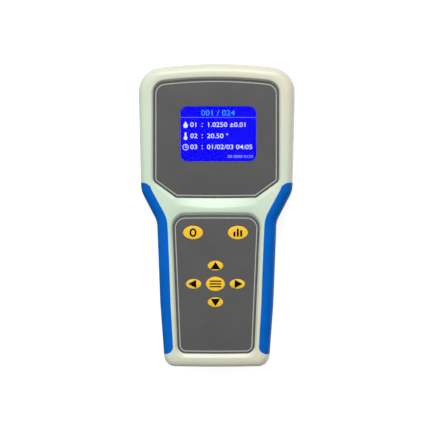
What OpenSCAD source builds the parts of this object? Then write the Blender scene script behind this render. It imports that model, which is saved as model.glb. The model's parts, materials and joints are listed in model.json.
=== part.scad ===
// Handheld density meter: a wide display head on a tapered handle. Two moulded shells carry soft side grips,
// a display plate, a film keypad, a small display, a board, a battery bay and a sensor socket.
// The meter lies on its back: z = 0 is the rear face, +Z the front, +Y the display end. Millimetres.

/* [Body] */
// Length from the end of the handle to the top of the head
body_len = 200; // [197:1:208]
// Thickness from the rear face to the crest of the front rim
body_t = 38; // [37.5:0.5:42]
// Height of the parting line above the rear face
part_h = 19; // [19:0.25:20.5]
// Width of the head at its top corners
head_w = 103.8; // [102:0.2:107]
// Width of the head at the shoulder
shoulder_w = 100; // [98:0.2:101]
// Width of the handle under the shoulder
handle_w = 78.8; // [78:0.2:83]
// Width of the handle where its side bows
handle_mid_w = 74.8; // [74:0.2:77]
// Width of the handle at its end
handle_end_w = 68.6; // [68:0.2:71]
// Distance from the top of the head to the shoulder
shoulder_drop = 83.8; // [82:0.1:86]
// Length of the sloping shoulder
shoulder_len = 20.2; // [18:0.1:22]
// Distance from the end of the handle to the bow of its side
handle_mid_rise = 42; // [38:1:48]
// Plan radius of the head's top corners
top_corner_r = 16; // [12:0.5:18]
// Plan radius at the top of the shoulder
shoulder_r = 16; // [12:1:20]
// Plan radius at the foot of the shoulder
neck_r = 14; // [10:1:18]
// Plan radius of the bow in the handle's side
handle_bow_r = 400; // [200:50:600]
// Plan radius of the handle's end corners
end_corner_r = 7.6; // [6.8:0.1:9]
// Plan radius of the arched top edge
top_arch_r = 290; // [240:10:400]
// Plan radius of the arched end edge
end_arch_r = 1200; // [800:100:2000]
// Rounding of the front and rear edges
edge_r = 5.6; // [4.8:0.1:5.8]
// Inward lean of each side wall from the parting line to the edge
side_draft = 0.6; // [0.3:0.1:0.8]
// Wall thickness of both shells
wall = 2.5; // [2.2:0.1:2.8]
// Thickness of the front floor under the keypad
floor_t = 2; // [1.6:0.1:2.4]

/* [Panels] */
// Depth of both panels below the crest of the rim
panel_sink = 2.3; // [1.6:0.1:2.4]
// Rim width above the display panel
top_rim = 10.2; // [9.6:0.1:10.8]
// Rim width below the keypad
end_rim = 8.8; // [8.6:0.1:11]
// Width of the bridge between the panels
bridge_w = 11.7; // [11:0.1:13]
// Width of the display panel
display_w = 82.8; // [80:0.2:84]
// Length of the display panel
display_len = 78.1; // [77:0.1:79]
// Sideways reach of the display panel's corner cuts
corner_cut_x = 15; // [12:0.5:18]
// Lengthways reach of the display panel's corner cuts
corner_cut_y = 10.9; // [8:0.1:13]
// Plan radius at the top of those cuts
corner_cut_top_r = 4; // [2:0.5:6]
// Plan radius at the end of those cuts
corner_cut_end_r = 1.5; // [1:0.5:3]
// Plan radius of the display panel's top corners
display_r = 8; // [4:0.5:9]
// Plan radius of the display panel's arched top edge
display_arch_r = 300; // [240:5:340]
// Thickness of the display panel
display_plate_t = 1.5; // [1.2:0.1:1.8]
// Width of the keypad at its top
keypad_top_w = 58; // [56:0.2:59]
// Width of the keypad at its end
keypad_end_w = 50.2; // [48:0.2:51]
// Plan radius of the keypad's top corners
keypad_top_r = 8.5; // [5:0.5:9]
// Plan radius of the keypad's end corners
keypad_end_r = 5.6; // [3:0.1:6]
// Width of the rounded lip around each recess
lip_w = 1.6; // [1.2:0.1:1.8]
// Width of the lip over the display panel
top_lip_w = 2; // [1.8:0.1:3.2]
// Width of the lip under the middle of the display panel
bridge_lip_w = 5.4; // [3:0.1:5.6]
// Width of the lip over the keypad
keypad_lip_w = 2.2; // [1.8:0.1:3.8]
// Width of the lip under the keypad
end_lip_w = 2.3; // [1.8:0.1:2.4]
// Gap around a panel in its recess
panel_gap = 0.15; // [0.1:0.05:0.3]

/* [Display] */
// Width of the display window
window_w = 50.2; // [46:0.2:54]
// Length of the display window
window_len = 36.5; // [34:0.1:39]
// Plan radius of the window's corners
window_r = 4.5; // [2:0.5:6]
// Distance from the panel's top edge to the window's centre
window_drop = 36.2; // [35.5:0.1:38]
// Sideways shift of the window
window_shift = 1.5; // [0:0.5:2]
// Depth of the window's face below the display panel's face
window_sink = 0.1; // [0.05:0.05:0.2]
// Ledge that the window rests on
window_ledge = 0.8; // [0.5:0.1:1.2]
// Width of the display module
lcd_w = 60.3; // [59.5:0.1:62]
// Length of the display module
lcd_len = 42.7; // [42:0.1:44]
// Thickness of the display glass
glass_t = 1.4; // [1.1:0.1:1.6]
// Thickness of the backlight
backlight_t = 1.8; // [1.4:0.1:2]
// Wall of the display frame
frame_wall = 1.2; // [1:0.1:1.5]

/* [Keypad] */
// Thickness of the keypad's top film
overlay_t = 0.5; // [0.4:0.05:0.6]
// Thickness of the keypad's circuit layer
circuit_t = 0.4; // [0.3:0.05:0.5]
// Travel of a key
key_travel = 0.5; // [0.3:0.05:0.5]
// Height of a key's edge above the film
key_edge_h = 0.25; // [0.2:0.05:0.4]
// Extra height of a key's crown
key_crown_h = 0.3; // [0.2:0.05:0.4]
// Gap around a key in the film
key_gap = 0.15; // [0.1:0.05:0.25]
// Width of the flange that keeps a key under the film
key_flange_w = 0.8; // [0.6:0.1:1]
// Thickness of that flange
key_flange_t = 0.4; // [0.3:0.05:0.4]
// Height of a pressed snap dome
dome_h = 0.2; // [0.15:0.05:0.2]
// Radius of a snap dome
dome_r = 2.8; // [2.2:0.1:3]
// Width of the two upper keys
upper_key_w = 13.1; // [12:0.1:14.5]
// Length of the two upper keys
upper_key_len = 8.9; // [8.5:0.1:10]
// Width of the middle key
menu_key_w = 12.4; // [12:0.1:13.5]
// Length of the middle key
menu_key_len = 9.4; // [8.5:0.1:10]
// Width of an arrow key
arrow_key_w = 10.1; // [9.5:0.1:11]
// Length of an arrow key
arrow_key_len = 6.4; // [6:0.1:7.2]
// Sideways place of the keys about the housing's middle
keys_x = -0.4; // [-0.8:0.1:0.8]
// Distance between the two upper keys
upper_pitch = 29.5; // [27:0.5:31]
// Distance from the keypad's top edge to the upper keys
upper_drop = 11.4; // [11:0.1:13]
// Distance from the keypad's top edge to the middle key
menu_drop = 45.2; // [42:0.1:49]
// Sideways distance from the middle key to an arrow key
arrow_pitch_x = 14.4; // [14.2:0.1:16]
// Lengthways distance from the middle key to an arrow key
arrow_pitch_y = 12; // [11.5:0.1:14]

/* [Grips] */
// Width of a grip seen from the front
grip_w = 6.9; // [6.4:0.1:7.2]
// Extra width in the middle of a grip
grip_swell = 0.7; // [0:0.1:0.8]
// Width of a grip seen from the rear
grip_rear_w = 6; // [5:0.1:6]
// Thickness of a grip
grip_t = 2; // [1.6:0.1:2.2]
// Distance from the top of the head to a grip's tip
grip_drop = 78.7; // [77:0.1:80]
// Distance from the end of the handle to a grip's foot
grip_rise = 8.4; // [8:0.1:12]
// Length of the rounding at both ends of a grip
grip_round = 4.2; // [3:0.1:4.6]
// Gap between a grip and its channel
grip_gap = 0.05; // [0.03:0.01:0.1]

/* [Seal] */
// Width of the sealing cord between the shells
seal_w = 1.2; // [1:0.1:1.3]
// Wall left inside the sealing cord
seal_in = 0.6; // [0.5:0.05:0.7]
// Depth of the sealing cord's groove
seal_h = 1.2; // [1:0.1:1.5]

/* [Fasteners] */
// Radius of a housing screw
screw_r = 1.5; // [1.25:0.05:1.6]
// Length of a housing screw under its head
screw_len = 18; // [16:0.5:19]
// Radius of a housing screw's head
screw_head_r = 2.8; // [2.5:0.1:2.9]
// Height of a housing screw's head
screw_head_h = 2; // [1.6:0.1:2.4]
// Depth of a screw's seat below the rear face
screw_seat = 9; // [8:0.5:10]
// Radial play of a screw in its post
screw_play = 0.05; // [0.03:0.01:0.08]
// Radial play of a screw's head in its well
head_play = 0.3; // [0.2:0.1:0.4]
// Wall around a screw or its well
post_wall = 1.6; // [1.4:0.1:2]
// Distance from the head's side to its screws
head_screw_in = 10.7; // [10:0.1:12]
// Distance from the top of the head to its screws
head_screw_drop = 18; // [16:0.5:20]
// Distance from the handle's side to the neck screws
neck_screw_in = 11.8; // [11.4:0.1:14]
// Distance from the shoulder's foot to the neck screws
neck_screw_drop = 3.3; // [2:0.1:6]
// Distance between the end screws
end_screw_pitch = 32; // [30:0.5:36]
// Distance from the end of the handle to the end screws
end_screw_rise = 9.6; // [9.4:0.1:9.8]
// Radius of a board screw
board_screw_r = 1.25; // [1:0.05:1.3]
// Length of a board screw under its head
board_screw_len = 6; // [5:0.25:6.5]

/* [Board] */
// Distance from the head's side to the main board
board_side = 14.9; // [14.4:0.1:15.4]
// Length of the main board
board_len = 72; // [71:0.5:74]
// Thickness of the main board
board_t = 1.6; // [1.2:0.1:2]
// Distance from the top of the head to the board
board_drop = 12; // [11:0.5:13]
// Height of the space between the front floor and the board
board_gap = 6; // [5.5:0.1:6.5]
// Distance from the board's edges to its screws
board_screw_in = 3.6; // [3.4:0.1:4]

/* [Battery] */
// Radius of a battery cell
cell_r = 7.25; // [7:0.05:7.3]
// Length of a battery cell with its button
cell_len = 50.5; // [49:0.1:51]
// Number of cells
cell_count = 3; // [2:1:3]
// Gap beside each cell
cell_gap = 0.3; // [0.2:0.05:0.4]
// Room for the spring contact of each cell
spring_len = 3; // [2.5:0.1:4]
// Thickness of the contact plates
plate_t = 0.5; // [0.3:0.05:0.6]
// Wall of the battery bay
bay_wall = 1.5; // [1.2:0.1:1.8]
// Roof of the battery bay
bay_roof_t = 1.3; // [1:0.1:1.4]
// Distance from the end of the handle to the battery bay
bay_rise = 16; // [15.8:0.1:18]
// Thickness of the battery door
door_t = 2.2; // [2:0.05:2.3]
// Height of the door's face above the rear face
door_sink = 0.2; // [0.1:0.05:0.3]
// Gap around the door
door_gap = 0.15; // [0.1:0.05:0.2]
// Depth of the tongues along the door's sides
tongue_w = 1.2; // [0.8:0.1:1.4]
// Thickness of those tongues
tongue_t = 0.9; // [0.7:0.05:1]
// Lip of the door above those tongues
tongue_lip = 0.3; // [0.2:0.05:0.4]
// Reach of the door past the battery bay
door_lap = 3.5; // [3:0.1:5]

/* [Socket] */
// Height of the sensor socket above the rear face
socket_h = 11.4; // [11.2:0.1:11.6]
// Radius of the socket's threaded barrel
socket_r = 4; // [3.8:0.05:4.2]
// Radius of the socket's flange
socket_flange_r = 5.5; // [5.3:0.1:5.6]
// Thickness of the socket's flange
socket_flange_t = 1.5; // [1.2:0.1:2]
// Radius of the bore that takes a plug
socket_bore_r = 3.2; // [3:0.05:3.3]
// Depth of that bore
socket_bore_len = 5; // [4:0.1:6]
// Step behind that bore, which stops the insert
insert_step = 0.3; // [0.2:0.05:0.4]
// Length of the socket behind its flange
socket_len = 11; // [10:0.1:12]
// Depth of the flange's face below the top edge
socket_sink = 1; // [0.8:0.1:1.4]
// Thickness of the socket's sealing ring
socket_seal_t = 1; // [0.8:0.1:1.2]
// Thickness of the wall that carries the socket
socket_wall = 4; // [3.5:0.1:4.5]
// Radius of a contact in the socket
contact_r = 0.5; // [0.4:0.05:0.6]
// Thickness of the socket's nut
nut_t = 2; // [1.6:0.1:2.4]

/* [Hidden] */

$fn = 48;
shell_colour = "#d0dcc8";
grip_colour = "#0363be";
panel_colour = "#5c5c5c";
key_colour = "#facd2d";
metal_colour = "#b8bcc0";
black_colour = "#232426";
film_colour = "#c9a45a";

// Overrun of a cutting tool past the face that it cuts
over = 1;
// Lap of a post or wall into the shell that carries it
lap = 0.6;

// The keypad's spacer leaves room for a key's flange, its travel and the pressed dome
key_lift = 0.05;
dome_play = 0.05;
spacer_t = key_lift + key_flange_t + key_travel + dome_h + dome_play;

// Levels along the front's stack
z_panel = body_t - panel_sink;
z_display_floor = z_panel - display_plate_t;
z_overlay = z_panel - overlay_t;
z_spacer = z_overlay - spacer_t;
z_keypad_floor = z_spacer - circuit_t;
z_ceiling = z_keypad_floor - floor_t;
z_board = z_ceiling - board_gap;
z_board_back = z_board - board_t;

// Levels along the rear's stack
z_door = door_sink + door_t;
z_bay = z_door + door_gap;
z_cell = z_bay + cell_r;
z_bay_roof = z_bay + 2 * cell_r + cell_gap;

// Places along the length
y_top = body_len / 2;
y_end = -body_len / 2;
y_display_top = y_top - top_rim;
y_display_end = y_display_top - display_len;
y_keypad_top = y_display_end - bridge_w;
y_keypad_end = y_end + end_rim;
y_window = y_display_top - window_drop;
y_grip_tip = y_top - grip_drop;
y_grip_foot = y_end + grip_rise;
y_board_top = y_top - board_drop;
y_board_end = y_board_top - board_len;
y_neck = y_top - shoulder_drop - shoulder_len;

// Plan geometry: a station is a point on an outline with its outward normal

function unit(v) = v / norm(v);
function left_of(d) = [-d[1], d[0]];
function point_of(corner) = [corner[0], corner[1]];

// One rounded corner, given as [x, y, radius, steps], on an outline that runs clockwise
function corner_stations(before, corner, after) =
  let (
    here = point_of(corner),
    way_in = unit(here - point_of(before)),
    way_out = unit(point_of(after) - here),
    turn = atan2(way_in[0] * way_out[1] - way_in[1] * way_out[0], way_in * way_out),
    side = turn < 0 ? 1 : -1,
    normal = left_of(way_in),
    start = here - way_in * corner[2] * tan(abs(turn) / 2),
    centre = start - side * corner[2] * normal,
    angle = atan2(normal[1], normal[0])
  )
  [for (k = [0:corner[3]])
    let (a = angle + turn * k / corner[3], n = [cos(a), sin(a)])
    [centre + side * corner[2] * n, n]];

function stations(corners) =
  let (count = len(corners))
  [for (i = [0:count - 1])
    each corner_stations(corners[(i + count - 1) % count], corners[i], corners[(i + 1) % count])];

// A closed list of corners from its top corner, its right side and its end corner
function mirrored(top, right, end) =
  concat([top], right, [end],
    [for (i = [len(right) - 1:-1:0]) [-right[i][0], right[i][1], right[i][2], right[i][3]]]);

// Peak of the virtual corner whose rounding has its crown at y
function arch_slope(half, corner_r, arch_r) = asin((half - corner_r) / arch_r);
function arch_rise(slope, arch_r) = arch_r * (1 / cos(slope) - 1);

// Outline of stations moved inwards, each by its own distance or all by one
function inset(line, d) = [for (s = line) s[0] - d * s[1]];
function inset_each(line, d) = [for (i = [0:len(line) - 1]) line[i][0] - d[i] * line[i][1]];
function at_height(points, z) = [for (p = points) [p[0], p[1], z]];

function ellipse_line(w, l, steps) =
  [for (i = [0:steps - 1]) [w / 2 * sin(360 * i / steps), l / 2 * cos(360 * i / steps)]];

function rounded_rect(w, l, r) =
  let (x = w / 2, y = l / 2)
  inset(stations([[x, y, r, 6], [x, -y, r, 6], [-x, -y, r, 6], [-x, y, r, 6]]), 0);

// A solid through a stack of mirrored rings, whose first arch has the given number of steps
module loft(rings, arch_steps) {
  n = len(rings[0]);
  top = (len(rings) - 1) * n;
  middle = arch_steps / 2;
  sides = [for (r = [0:len(rings) - 2], i = [0:n - 1])
    let (j = (i + 1) % n)
    [r * n + i, r * n + j, (r + 1) * n + j, (r + 1) * n + i]];
  strips = [for (k = [0:floor(n / 2) - 1])
    let (
      a = (middle + k) % n,
      b = (middle + k + 1) % n,
      across_a = (arch_steps - a + n) % n,
      across_b = (arch_steps - b + n) % n
    )
    across_a == a ? [a, b, across_b] : across_b == b ? [a, b, across_a] : [a, b, across_b, across_a]];
  upper = [for (s = strips) [for (i = s) top + i]];
  lower = [for (s = strips) [for (k = [len(s) - 1:-1:0]) s[k]]];
  polyhedron(points = [for (r = rings) each r], faces = concat(sides, upper, lower), convexity = 6);
}

module plate(points, z, t) {
  translate([0, 0, z]) linear_extrude(t) polygon(points);
}

module block(low, high) {
  translate(low) cube(high - low);
}

// A flat strip along a path in the length and height plane
function path_normal(path, i) = left_of(unit(path[i + 1] - path[i]));
function path_mitre(path, i) =
  let (
    last = len(path) - 1,
    before = path_normal(path, max(i - 1, 0)),
    after = path_normal(path, min(i, last - 1)),
    m = unit(before + after)
  )
  m / (m * before);
module strip(path, x, w, t) {
  ends = [for (i = [0:len(path) - 1]) path_mitre(path, i) * t / 2];
  upper = [for (i = [0:len(path) - 1]) path[i] + ends[i]];
  lower = [for (i = [len(path) - 1:-1:0]) path[i] - ends[i]];
  translate([x, 0, 0]) rotate([90, 0, 90]) linear_extrude(w, center = true) polygon(concat(upper, lower));
}

module lengthways(x, y, z) {
  translate([x, y, z]) rotate([-90, 0, 0]) children();
}

// Body outline

top_steps = 8;
end_steps = 4;
edge_steps = 7;
top_slope = arch_slope(head_w / 2, top_corner_r, top_arch_r);
end_slope = arch_slope(handle_end_w / 2, end_corner_r, end_arch_r);
y_top_peak = y_top + arch_rise(top_slope, top_arch_r);
y_end_peak = y_end - arch_rise(end_slope, end_arch_r);
body_line = stations(mirrored(
  [0, y_top_peak, top_arch_r, top_steps],
  [
    [head_w / 2, y_top_peak - head_w / 2 * tan(top_slope), top_corner_r, 9],
    [shoulder_w / 2, y_top - shoulder_drop, shoulder_r, 6],
    [handle_w / 2, y_neck, neck_r, 6],
    [handle_mid_w / 2, y_end + handle_mid_rise, handle_bow_r, 2],
    [handle_end_w / 2, y_end_peak + handle_end_w / 2 * tan(end_slope), end_corner_r, 6]
  ],
  [0, y_end_peak, end_arch_r, end_steps]));
right_line = [for (k = [0:len(body_line) / 2]) body_line[top_steps / 2 + k]];

// Inner face of the wall: it steps in behind the grips
grip_zone = y_grip_tip + grip_round;
wall_line = [for (s = body_line) s[0][1] < grip_zone ? grip_t + wall : wall];
function wall_offset(d) = [for (w = wall_line) w + d];

// Depth and height on a rounded edge, at an angle from the side towards the front or rear face
edge_in = side_draft + edge_r;
function edge_point(r, angle) = [edge_in - r * cos(angle), r * sin(angle)];
function front_edge(r, angle) = let (p = edge_point(r, angle)) [p[0], body_t - edge_r + p[1]];
function rear_edge(r, angle) = let (p = edge_point(r, angle)) [p[0], edge_r - p[1]];

module front_form() {
  profile = concat([[0, part_h]], [for (k = [0:edge_steps]) front_edge(edge_r, 90 * k / edge_steps)]);
  loft([for (p = profile) at_height(inset(body_line, p[0]), p[1])], top_steps);
}

module rear_form() {
  profile = concat([for (k = [edge_steps:-1:0]) rear_edge(edge_r, 90 * k / edge_steps)], [[0, part_h]]);
  loft([for (p = profile) at_height(inset(body_line, p[0]), p[1])], top_steps);
}

// Panel outlines

display_slope = arch_slope(display_w / 2, display_r, display_arch_r);
y_display_peak = y_display_top + arch_rise(display_slope, display_arch_r);
bridge_arch_r = 900;
display_steps = 6;
foot_half = display_w / 2 - corner_cut_x;
bridge_slope = arch_slope(foot_half, corner_cut_end_r, bridge_arch_r);
y_bridge_peak = y_display_end - arch_rise(bridge_slope, bridge_arch_r);
display_line = stations(mirrored(
  [0, y_display_peak, display_arch_r, display_steps],
  [
    [display_w / 2, y_display_peak - display_w / 2 * tan(display_slope), display_r, 6],
    [display_w / 2, y_display_end + corner_cut_y, corner_cut_top_r, 4],
    [foot_half, y_display_end, corner_cut_end_r, 3]
  ],
  [0, y_bridge_peak, bridge_arch_r, 6]));

keypad_arch_r = 1500;
keypad_steps = 4;
// The keypad's sides lean, so its corners reach further along the arch than their radius
corner_reach = 1.15;
keypad_slope = arch_slope(keypad_top_w / 2, corner_reach * keypad_top_r, keypad_arch_r);
keypad_foot_slope = arch_slope(keypad_end_w / 2, corner_reach * keypad_end_r, keypad_arch_r);
y_keypad_peak = y_keypad_top + arch_rise(keypad_slope, keypad_arch_r);
y_keypad_foot = y_keypad_end - arch_rise(keypad_foot_slope, keypad_arch_r);
keypad_line = stations(mirrored(
  [0, y_keypad_peak, keypad_arch_r, keypad_steps],
  [
    [keypad_top_w / 2, y_keypad_peak - keypad_top_w / 2 * tan(keypad_slope), keypad_top_r, 7],
    [keypad_end_w / 2, y_keypad_foot + keypad_end_w / 2 * tan(keypad_foot_slope), keypad_end_r, 6]
  ],
  [0, y_keypad_foot, keypad_arch_r, 4]));

// Lip widths: wider over both panels, where the bridge falls to the display panel, and under the keypad
bridge_lip_fade = 0.75;
function bridge_share(s) =
  pow(max(0, -s[1][1]), 3) * max(0, 1 - bridge_lip_fade * pow(s[0][0] / foot_half, 2));
display_lip = [for (s = display_line)
  lip_w + (top_lip_w - lip_w) * max(0, s[1][1]) + (bridge_lip_w - lip_w) * bridge_share(s)];
keypad_lip = [for (s = keypad_line)
  lip_w + (keypad_lip_w - lip_w) * max(0, s[1][1]) + (end_lip_w - lip_w) * max(0, -s[1][1])];

// A recess with straight sides up to the panel and a rounded lip from there to the crest
lip_sweep = 64;
lip_share = 0.8;
lip_steps = 4;
module recess(line, lips, z_floor, arch_steps) {
  lip_rise = panel_sink * 0.93 / sin(lip_sweep);
  reach = lip_share / (1 - cos(lip_sweep));
  stretch = (panel_sink * 0.07 + over) / (lip_rise * cos(lip_sweep));
  arcs = [for (k = [0:lip_steps])
    let (a = lip_sweep * k / lip_steps)
    [reach * (1 - cos(a)), z_panel + lip_rise * sin(a)]];
  last = arcs[lip_steps] + [reach * sin(lip_sweep) * stretch, 0];
  profile = concat([[0, z_floor]], arcs, [[last[0], body_t + over]]);
  loft([for (p = profile) at_height(inset_each(line, [for (w = lips) -w * p[0]]), p[1])], arch_steps);
}

// Grips and their channels

function right_at(y) =
  let (
    k = max([for (i = [0:len(right_line) - 2]) if (right_line[i][0][1] >= y) i]),
    a = right_line[k],
    b = right_line[k + 1],
    f = (a[0][1] - y) / (a[0][1] - b[0][1])
  )
  [a[0] + (b[0] - a[0]) * f, unit(a[1] + (b[1] - a[1]) * f)];

grip_round_steps = 4;
grip_arc_steps = 5;
grip_tip_w = 1.6;
grip_middle = (y_grip_tip + y_grip_foot) / 2;
grip_half = (y_grip_tip - y_grip_foot) / 2;
// Stations of the body between the roundings, kept a little way off them
grip_clear = grip_round + 0.5;
grip_span = [for (s = right_line)
  if (s[0][1] < y_grip_tip - grip_clear && s[0][1] > y_grip_foot + grip_clear) s[0][1]];

// Rows of [height along y, width of the grip there], rounded at the tip and the foot
function grip_rows(gap) =
  let (angles = [for (k = [0:grip_round_steps]) 90 * k / grip_round_steps])
  concat(
    [for (a = angles)
      [y_grip_tip + gap - grip_round * (1 - cos(a)), grip_tip_w + (grip_w - grip_tip_w) * sin(a)]],
    [for (y = grip_span) [y, grip_w + grip_swell * (1 - pow((y - grip_middle) / grip_half, 2))]],
    [for (k = [grip_round_steps:-1:0])
      let (a = angles[k])
      [y_grip_foot - gap + grip_round * (1 - cos(a)), grip_tip_w + (grip_w - grip_tip_w) * sin(a)]]);

// Angles around an edge and reaches past it onto the flat face, from the grip's border to the side
function grip_spans(w) =
  let (
    flat = max(0, w - edge_in),
    reach = acos(1 - (w - flat - side_draft) / edge_r),
    run = flat + edge_r * reach * PI / 180
  )
  [for (k = [0:grip_arc_steps])
    let (s = run * k / grip_arc_steps)
    [reach - max(0, s - flat) / edge_r * 180 / PI, max(0, flat - s)]];

// Depth and height pairs around the side, from the front edge of the grip to its rear edge
function grip_section(w, depth, gap) =
  let (front = grip_spans(w + gap), rear = grip_spans(min(w, grip_rear_w) + gap))
  concat(
    [for (s = front) front_edge(edge_r - depth, s[0]) + [s[1], 0]],
    [[depth, part_h]],
    [for (k = [grip_arc_steps:-1:0]) rear_edge(edge_r - depth, rear[k][0]) + [rear[k][1], 0]]);

module side_band(gap, outer, inner) {
  rows = grip_rows(gap);
  m = len(grip_section(grip_w, 0, 0));
  points = [for (row = rows)
    let (s = right_at(row[0]))
    each [for (depth = [outer, inner], p = grip_section(row[1], depth, gap))
      [s[0][0] - p[0] * s[1][0], s[0][1] - p[0] * s[1][1], p[1]]]];
  count = 2 * m;
  last = (len(rows) - 1) * count;
  bands = [for (r = [0:len(rows) - 2], k = [0:m - 2])
    let (a = r * count + k, b = a + count)
    each [[a, a + 1, b + 1, b], [b + m, b + m + 1, a + m + 1, a + m]]];
  edges = [for (r = [0:len(rows) - 2])
    let (a = r * count, b = a + count, e = m - 1)
    each [[a, b, b + m, a + m], [a + e, a + e + m, b + e + m, b + e]]];
  caps = [for (k = [0:m - 2])
    each [[k, k + m, k + m + 1, k + 1], [last + k, last + k + 1, last + k + m + 1, last + k + m]]];
  polyhedron(points = points, faces = concat(bands, edges, caps), convexity = 6);
}

module grip_channels() {
  for (side = [0, 1]) mirror([side, 0, 0]) side_band(grip_gap, -over, grip_t + grip_gap);
}

module right_grip() {
  color(grip_colour) side_band(0, 0, grip_t);
}

module left_grip() {
  mirror([1, 0, 0]) right_grip();
}

// Housing screws and their posts

head_screw = [head_w / 2 - head_screw_in, y_top - head_screw_drop];
neck_screw = [handle_w / 2 - neck_screw_in, y_neck - neck_screw_drop];
end_screw = [end_screw_pitch / 2, y_end + end_screw_rise];
screw_places = [for (p = [head_screw, neck_screw, end_screw], side = [1, -1]) [side * p[0], p[1]]];
well_r = screw_head_r + head_play;
front_post_r = screw_r + screw_play + 1.25 * post_wall;
rear_post_r = well_r + post_wall;

module front_posts() {
  for (p = screw_places)
    translate([p[0], p[1], part_h]) cylinder(h = z_ceiling + lap - part_h, r = front_post_r);
}

module screw_bores() {
  for (p = screw_places)
    translate([p[0], p[1], part_h - over]) cylinder(h = z_ceiling - part_h + over, r = screw_r + screw_play);
}

module rear_posts() {
  for (p = screw_places)
    translate([p[0], p[1], wall - lap]) cylinder(h = part_h - wall + lap, r = rear_post_r);
}

module screw_wells() {
  for (p = screw_places) translate([p[0], p[1], 0]) {
    translate([0, 0, -over]) cylinder(h = screw_seat + over, r = well_r);
    cylinder(h = part_h + over, r = screw_r + head_play);
  }
}

module housing_screws() {
  color(metal_colour) for (p = screw_places) translate([p[0], p[1], screw_seat]) {
    cylinder(h = screw_len, r = screw_r);
    difference() {
      translate([0, 0, -screw_head_h]) cylinder(h = screw_head_h, r = screw_head_r);
      for (turn = [0, 90]) rotate(turn) translate([0, 0, -screw_head_h])
        cube([1.2 * screw_head_r, 0.3 * screw_head_r, screw_head_h], center = true);
    }
  }
}

// Board screws

board_w = head_w - 2 * board_side;
board_screw_x = board_w / 2 - board_screw_in;
board_screw_places = [for (x = [1, -1], y = [y_board_top - board_screw_in, y_board_end + board_screw_in])
  [x * board_screw_x, y]];
board_post_r = board_screw_r + screw_play + post_wall;
board_head_r = 2 * board_screw_r;
board_head_h = 1.2 * board_screw_r;

module board_posts() {
  for (p = board_screw_places)
    translate([p[0], p[1], z_board]) cylinder(h = board_gap + lap, r = board_post_r);
}

module board_bores(z, h) {
  for (p = board_screw_places) translate([p[0], p[1], z]) cylinder(h = h, r = board_screw_r + screw_play);
}

module board_screws() {
  color(metal_colour) for (p = board_screw_places) translate([p[0], p[1], z_board_back]) {
    cylinder(h = board_screw_len, r = board_screw_r);
    difference() {
      translate([0, 0, -board_head_h]) cylinder(h = board_head_h, r = board_head_r);
      translate([0, 0, -board_head_h])
        cube([1.4 * board_head_r, 0.35 * board_head_r, board_head_h], center = true);
    }
  }
}

// Keypad tail: from the circuit layer through a slot to its connector on the board

tail_w = 12;
tail_t = 0.3;
tail_x = -15;
tail_slot_gap = 0.6;
tail_drop = 7.8;
tail_bend = 2.5;
tail_sag = tail_bend + tail_slot_gap;
tail_ease = 4;
socket_inset = 3;
tail_socket_len = 5;
tail_socket_h = 2.4;
y_tail = y_keypad_top - tail_drop;
y_tail_socket = y_board_end + socket_inset;
z_tail_socket = z_board + tail_socket_h / 2;

module tail_slot() {
  block([tail_x - tail_w / 2 - tail_slot_gap, y_tail - tail_slot_gap, z_ceiling - over],
    [tail_x + tail_w / 2 + tail_slot_gap, y_tail + tail_slot_gap, z_keypad_floor + over / 2]);
}

module keypad_tail() {
  z_run = z_ceiling - tail_sag;
  path = [[y_tail, z_keypad_floor], [y_tail, z_run + tail_bend], [y_tail + tail_bend, z_run],
    [y_board_end - tail_ease, z_run], [y_board_end, z_tail_socket], [y_tail_socket, z_tail_socket]];
  color(film_colour) strip(path, tail_x, tail_w, tail_t);
}

// Shells

module display_opening() {
  translate([window_shift, y_window, z_ceiling - over])
    linear_extrude(z_display_floor - z_ceiling + 2 * over)
      polygon(rounded_rect(window_w - 2 * window_ledge, window_len - 2 * window_ledge,
        window_r - window_ledge));
}

module front_housing() {
  color(shell_colour) difference() {
    union() {
      difference() {
        front_form();
        recess(display_line, display_lip, z_display_floor, display_steps);
        recess(keypad_line, keypad_lip, z_keypad_floor, keypad_steps);
        plate(inset_each(body_line, wall_line), part_h - over, z_ceiling - part_h + over);
        grip_channels();
      }
      front_posts();
      board_posts();
    }
    screw_bores();
    board_bores(z_board - over, board_gap);
    display_opening();
    tail_slot();
  }
}

seal_inner = wall_offset(-seal_in);
seal_outer = wall_offset(-seal_in - seal_w);

module seal_ring(z, h) {
  difference() {
    plate(inset_each(body_line, seal_outer), z, h);
    plate(inset_each(body_line, seal_inner), z - over, h + 2 * over);
  }
}

module housing_seal() {
  color(black_colour) seal_ring(part_h - seal_h, seal_h);
}

// Battery bay and door

cell_pitch = 2 * cell_r + cell_gap;
bay_half = cell_count * cell_pitch / 2 + cell_gap;
bay_len = cell_len + plate_t + spring_len;
y_bay_end = y_end + bay_rise;
y_bay_top = y_bay_end + bay_len;
y_door_top = y_bay_top + door_lap;
door_half = bay_half + bay_wall;
groove_half = door_half + tongue_w + 2 * door_gap;
z_tongue = z_door - tongue_t - tongue_lip;

// A box around the cells, and a slab that carries the door's grooves from the end wall to the door's top
module bay_block() {
  slab_half = groove_half + bay_wall;
  block([-bay_half - bay_wall, y_bay_end - bay_wall, lap],
    [bay_half + bay_wall, y_bay_top + bay_wall, z_bay_roof + bay_roof_t]);
  block([-slab_half, y_end + grip_t + wall - lap, lap], [slab_half, y_door_top + bay_wall, z_bay + bay_wall]);
}

module bay_cut() {
  block([-bay_half, y_bay_end, z_bay - over], [bay_half, y_bay_top, z_bay_roof]);
  block([-door_half - door_gap, y_end - over, -over], [door_half + door_gap, y_door_top + door_gap, z_bay]);
  block([-groove_half, y_end - over, z_tongue - door_gap],
    [groove_half, y_door_top + door_gap, z_tongue + tongue_t + door_gap]);
}

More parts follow.
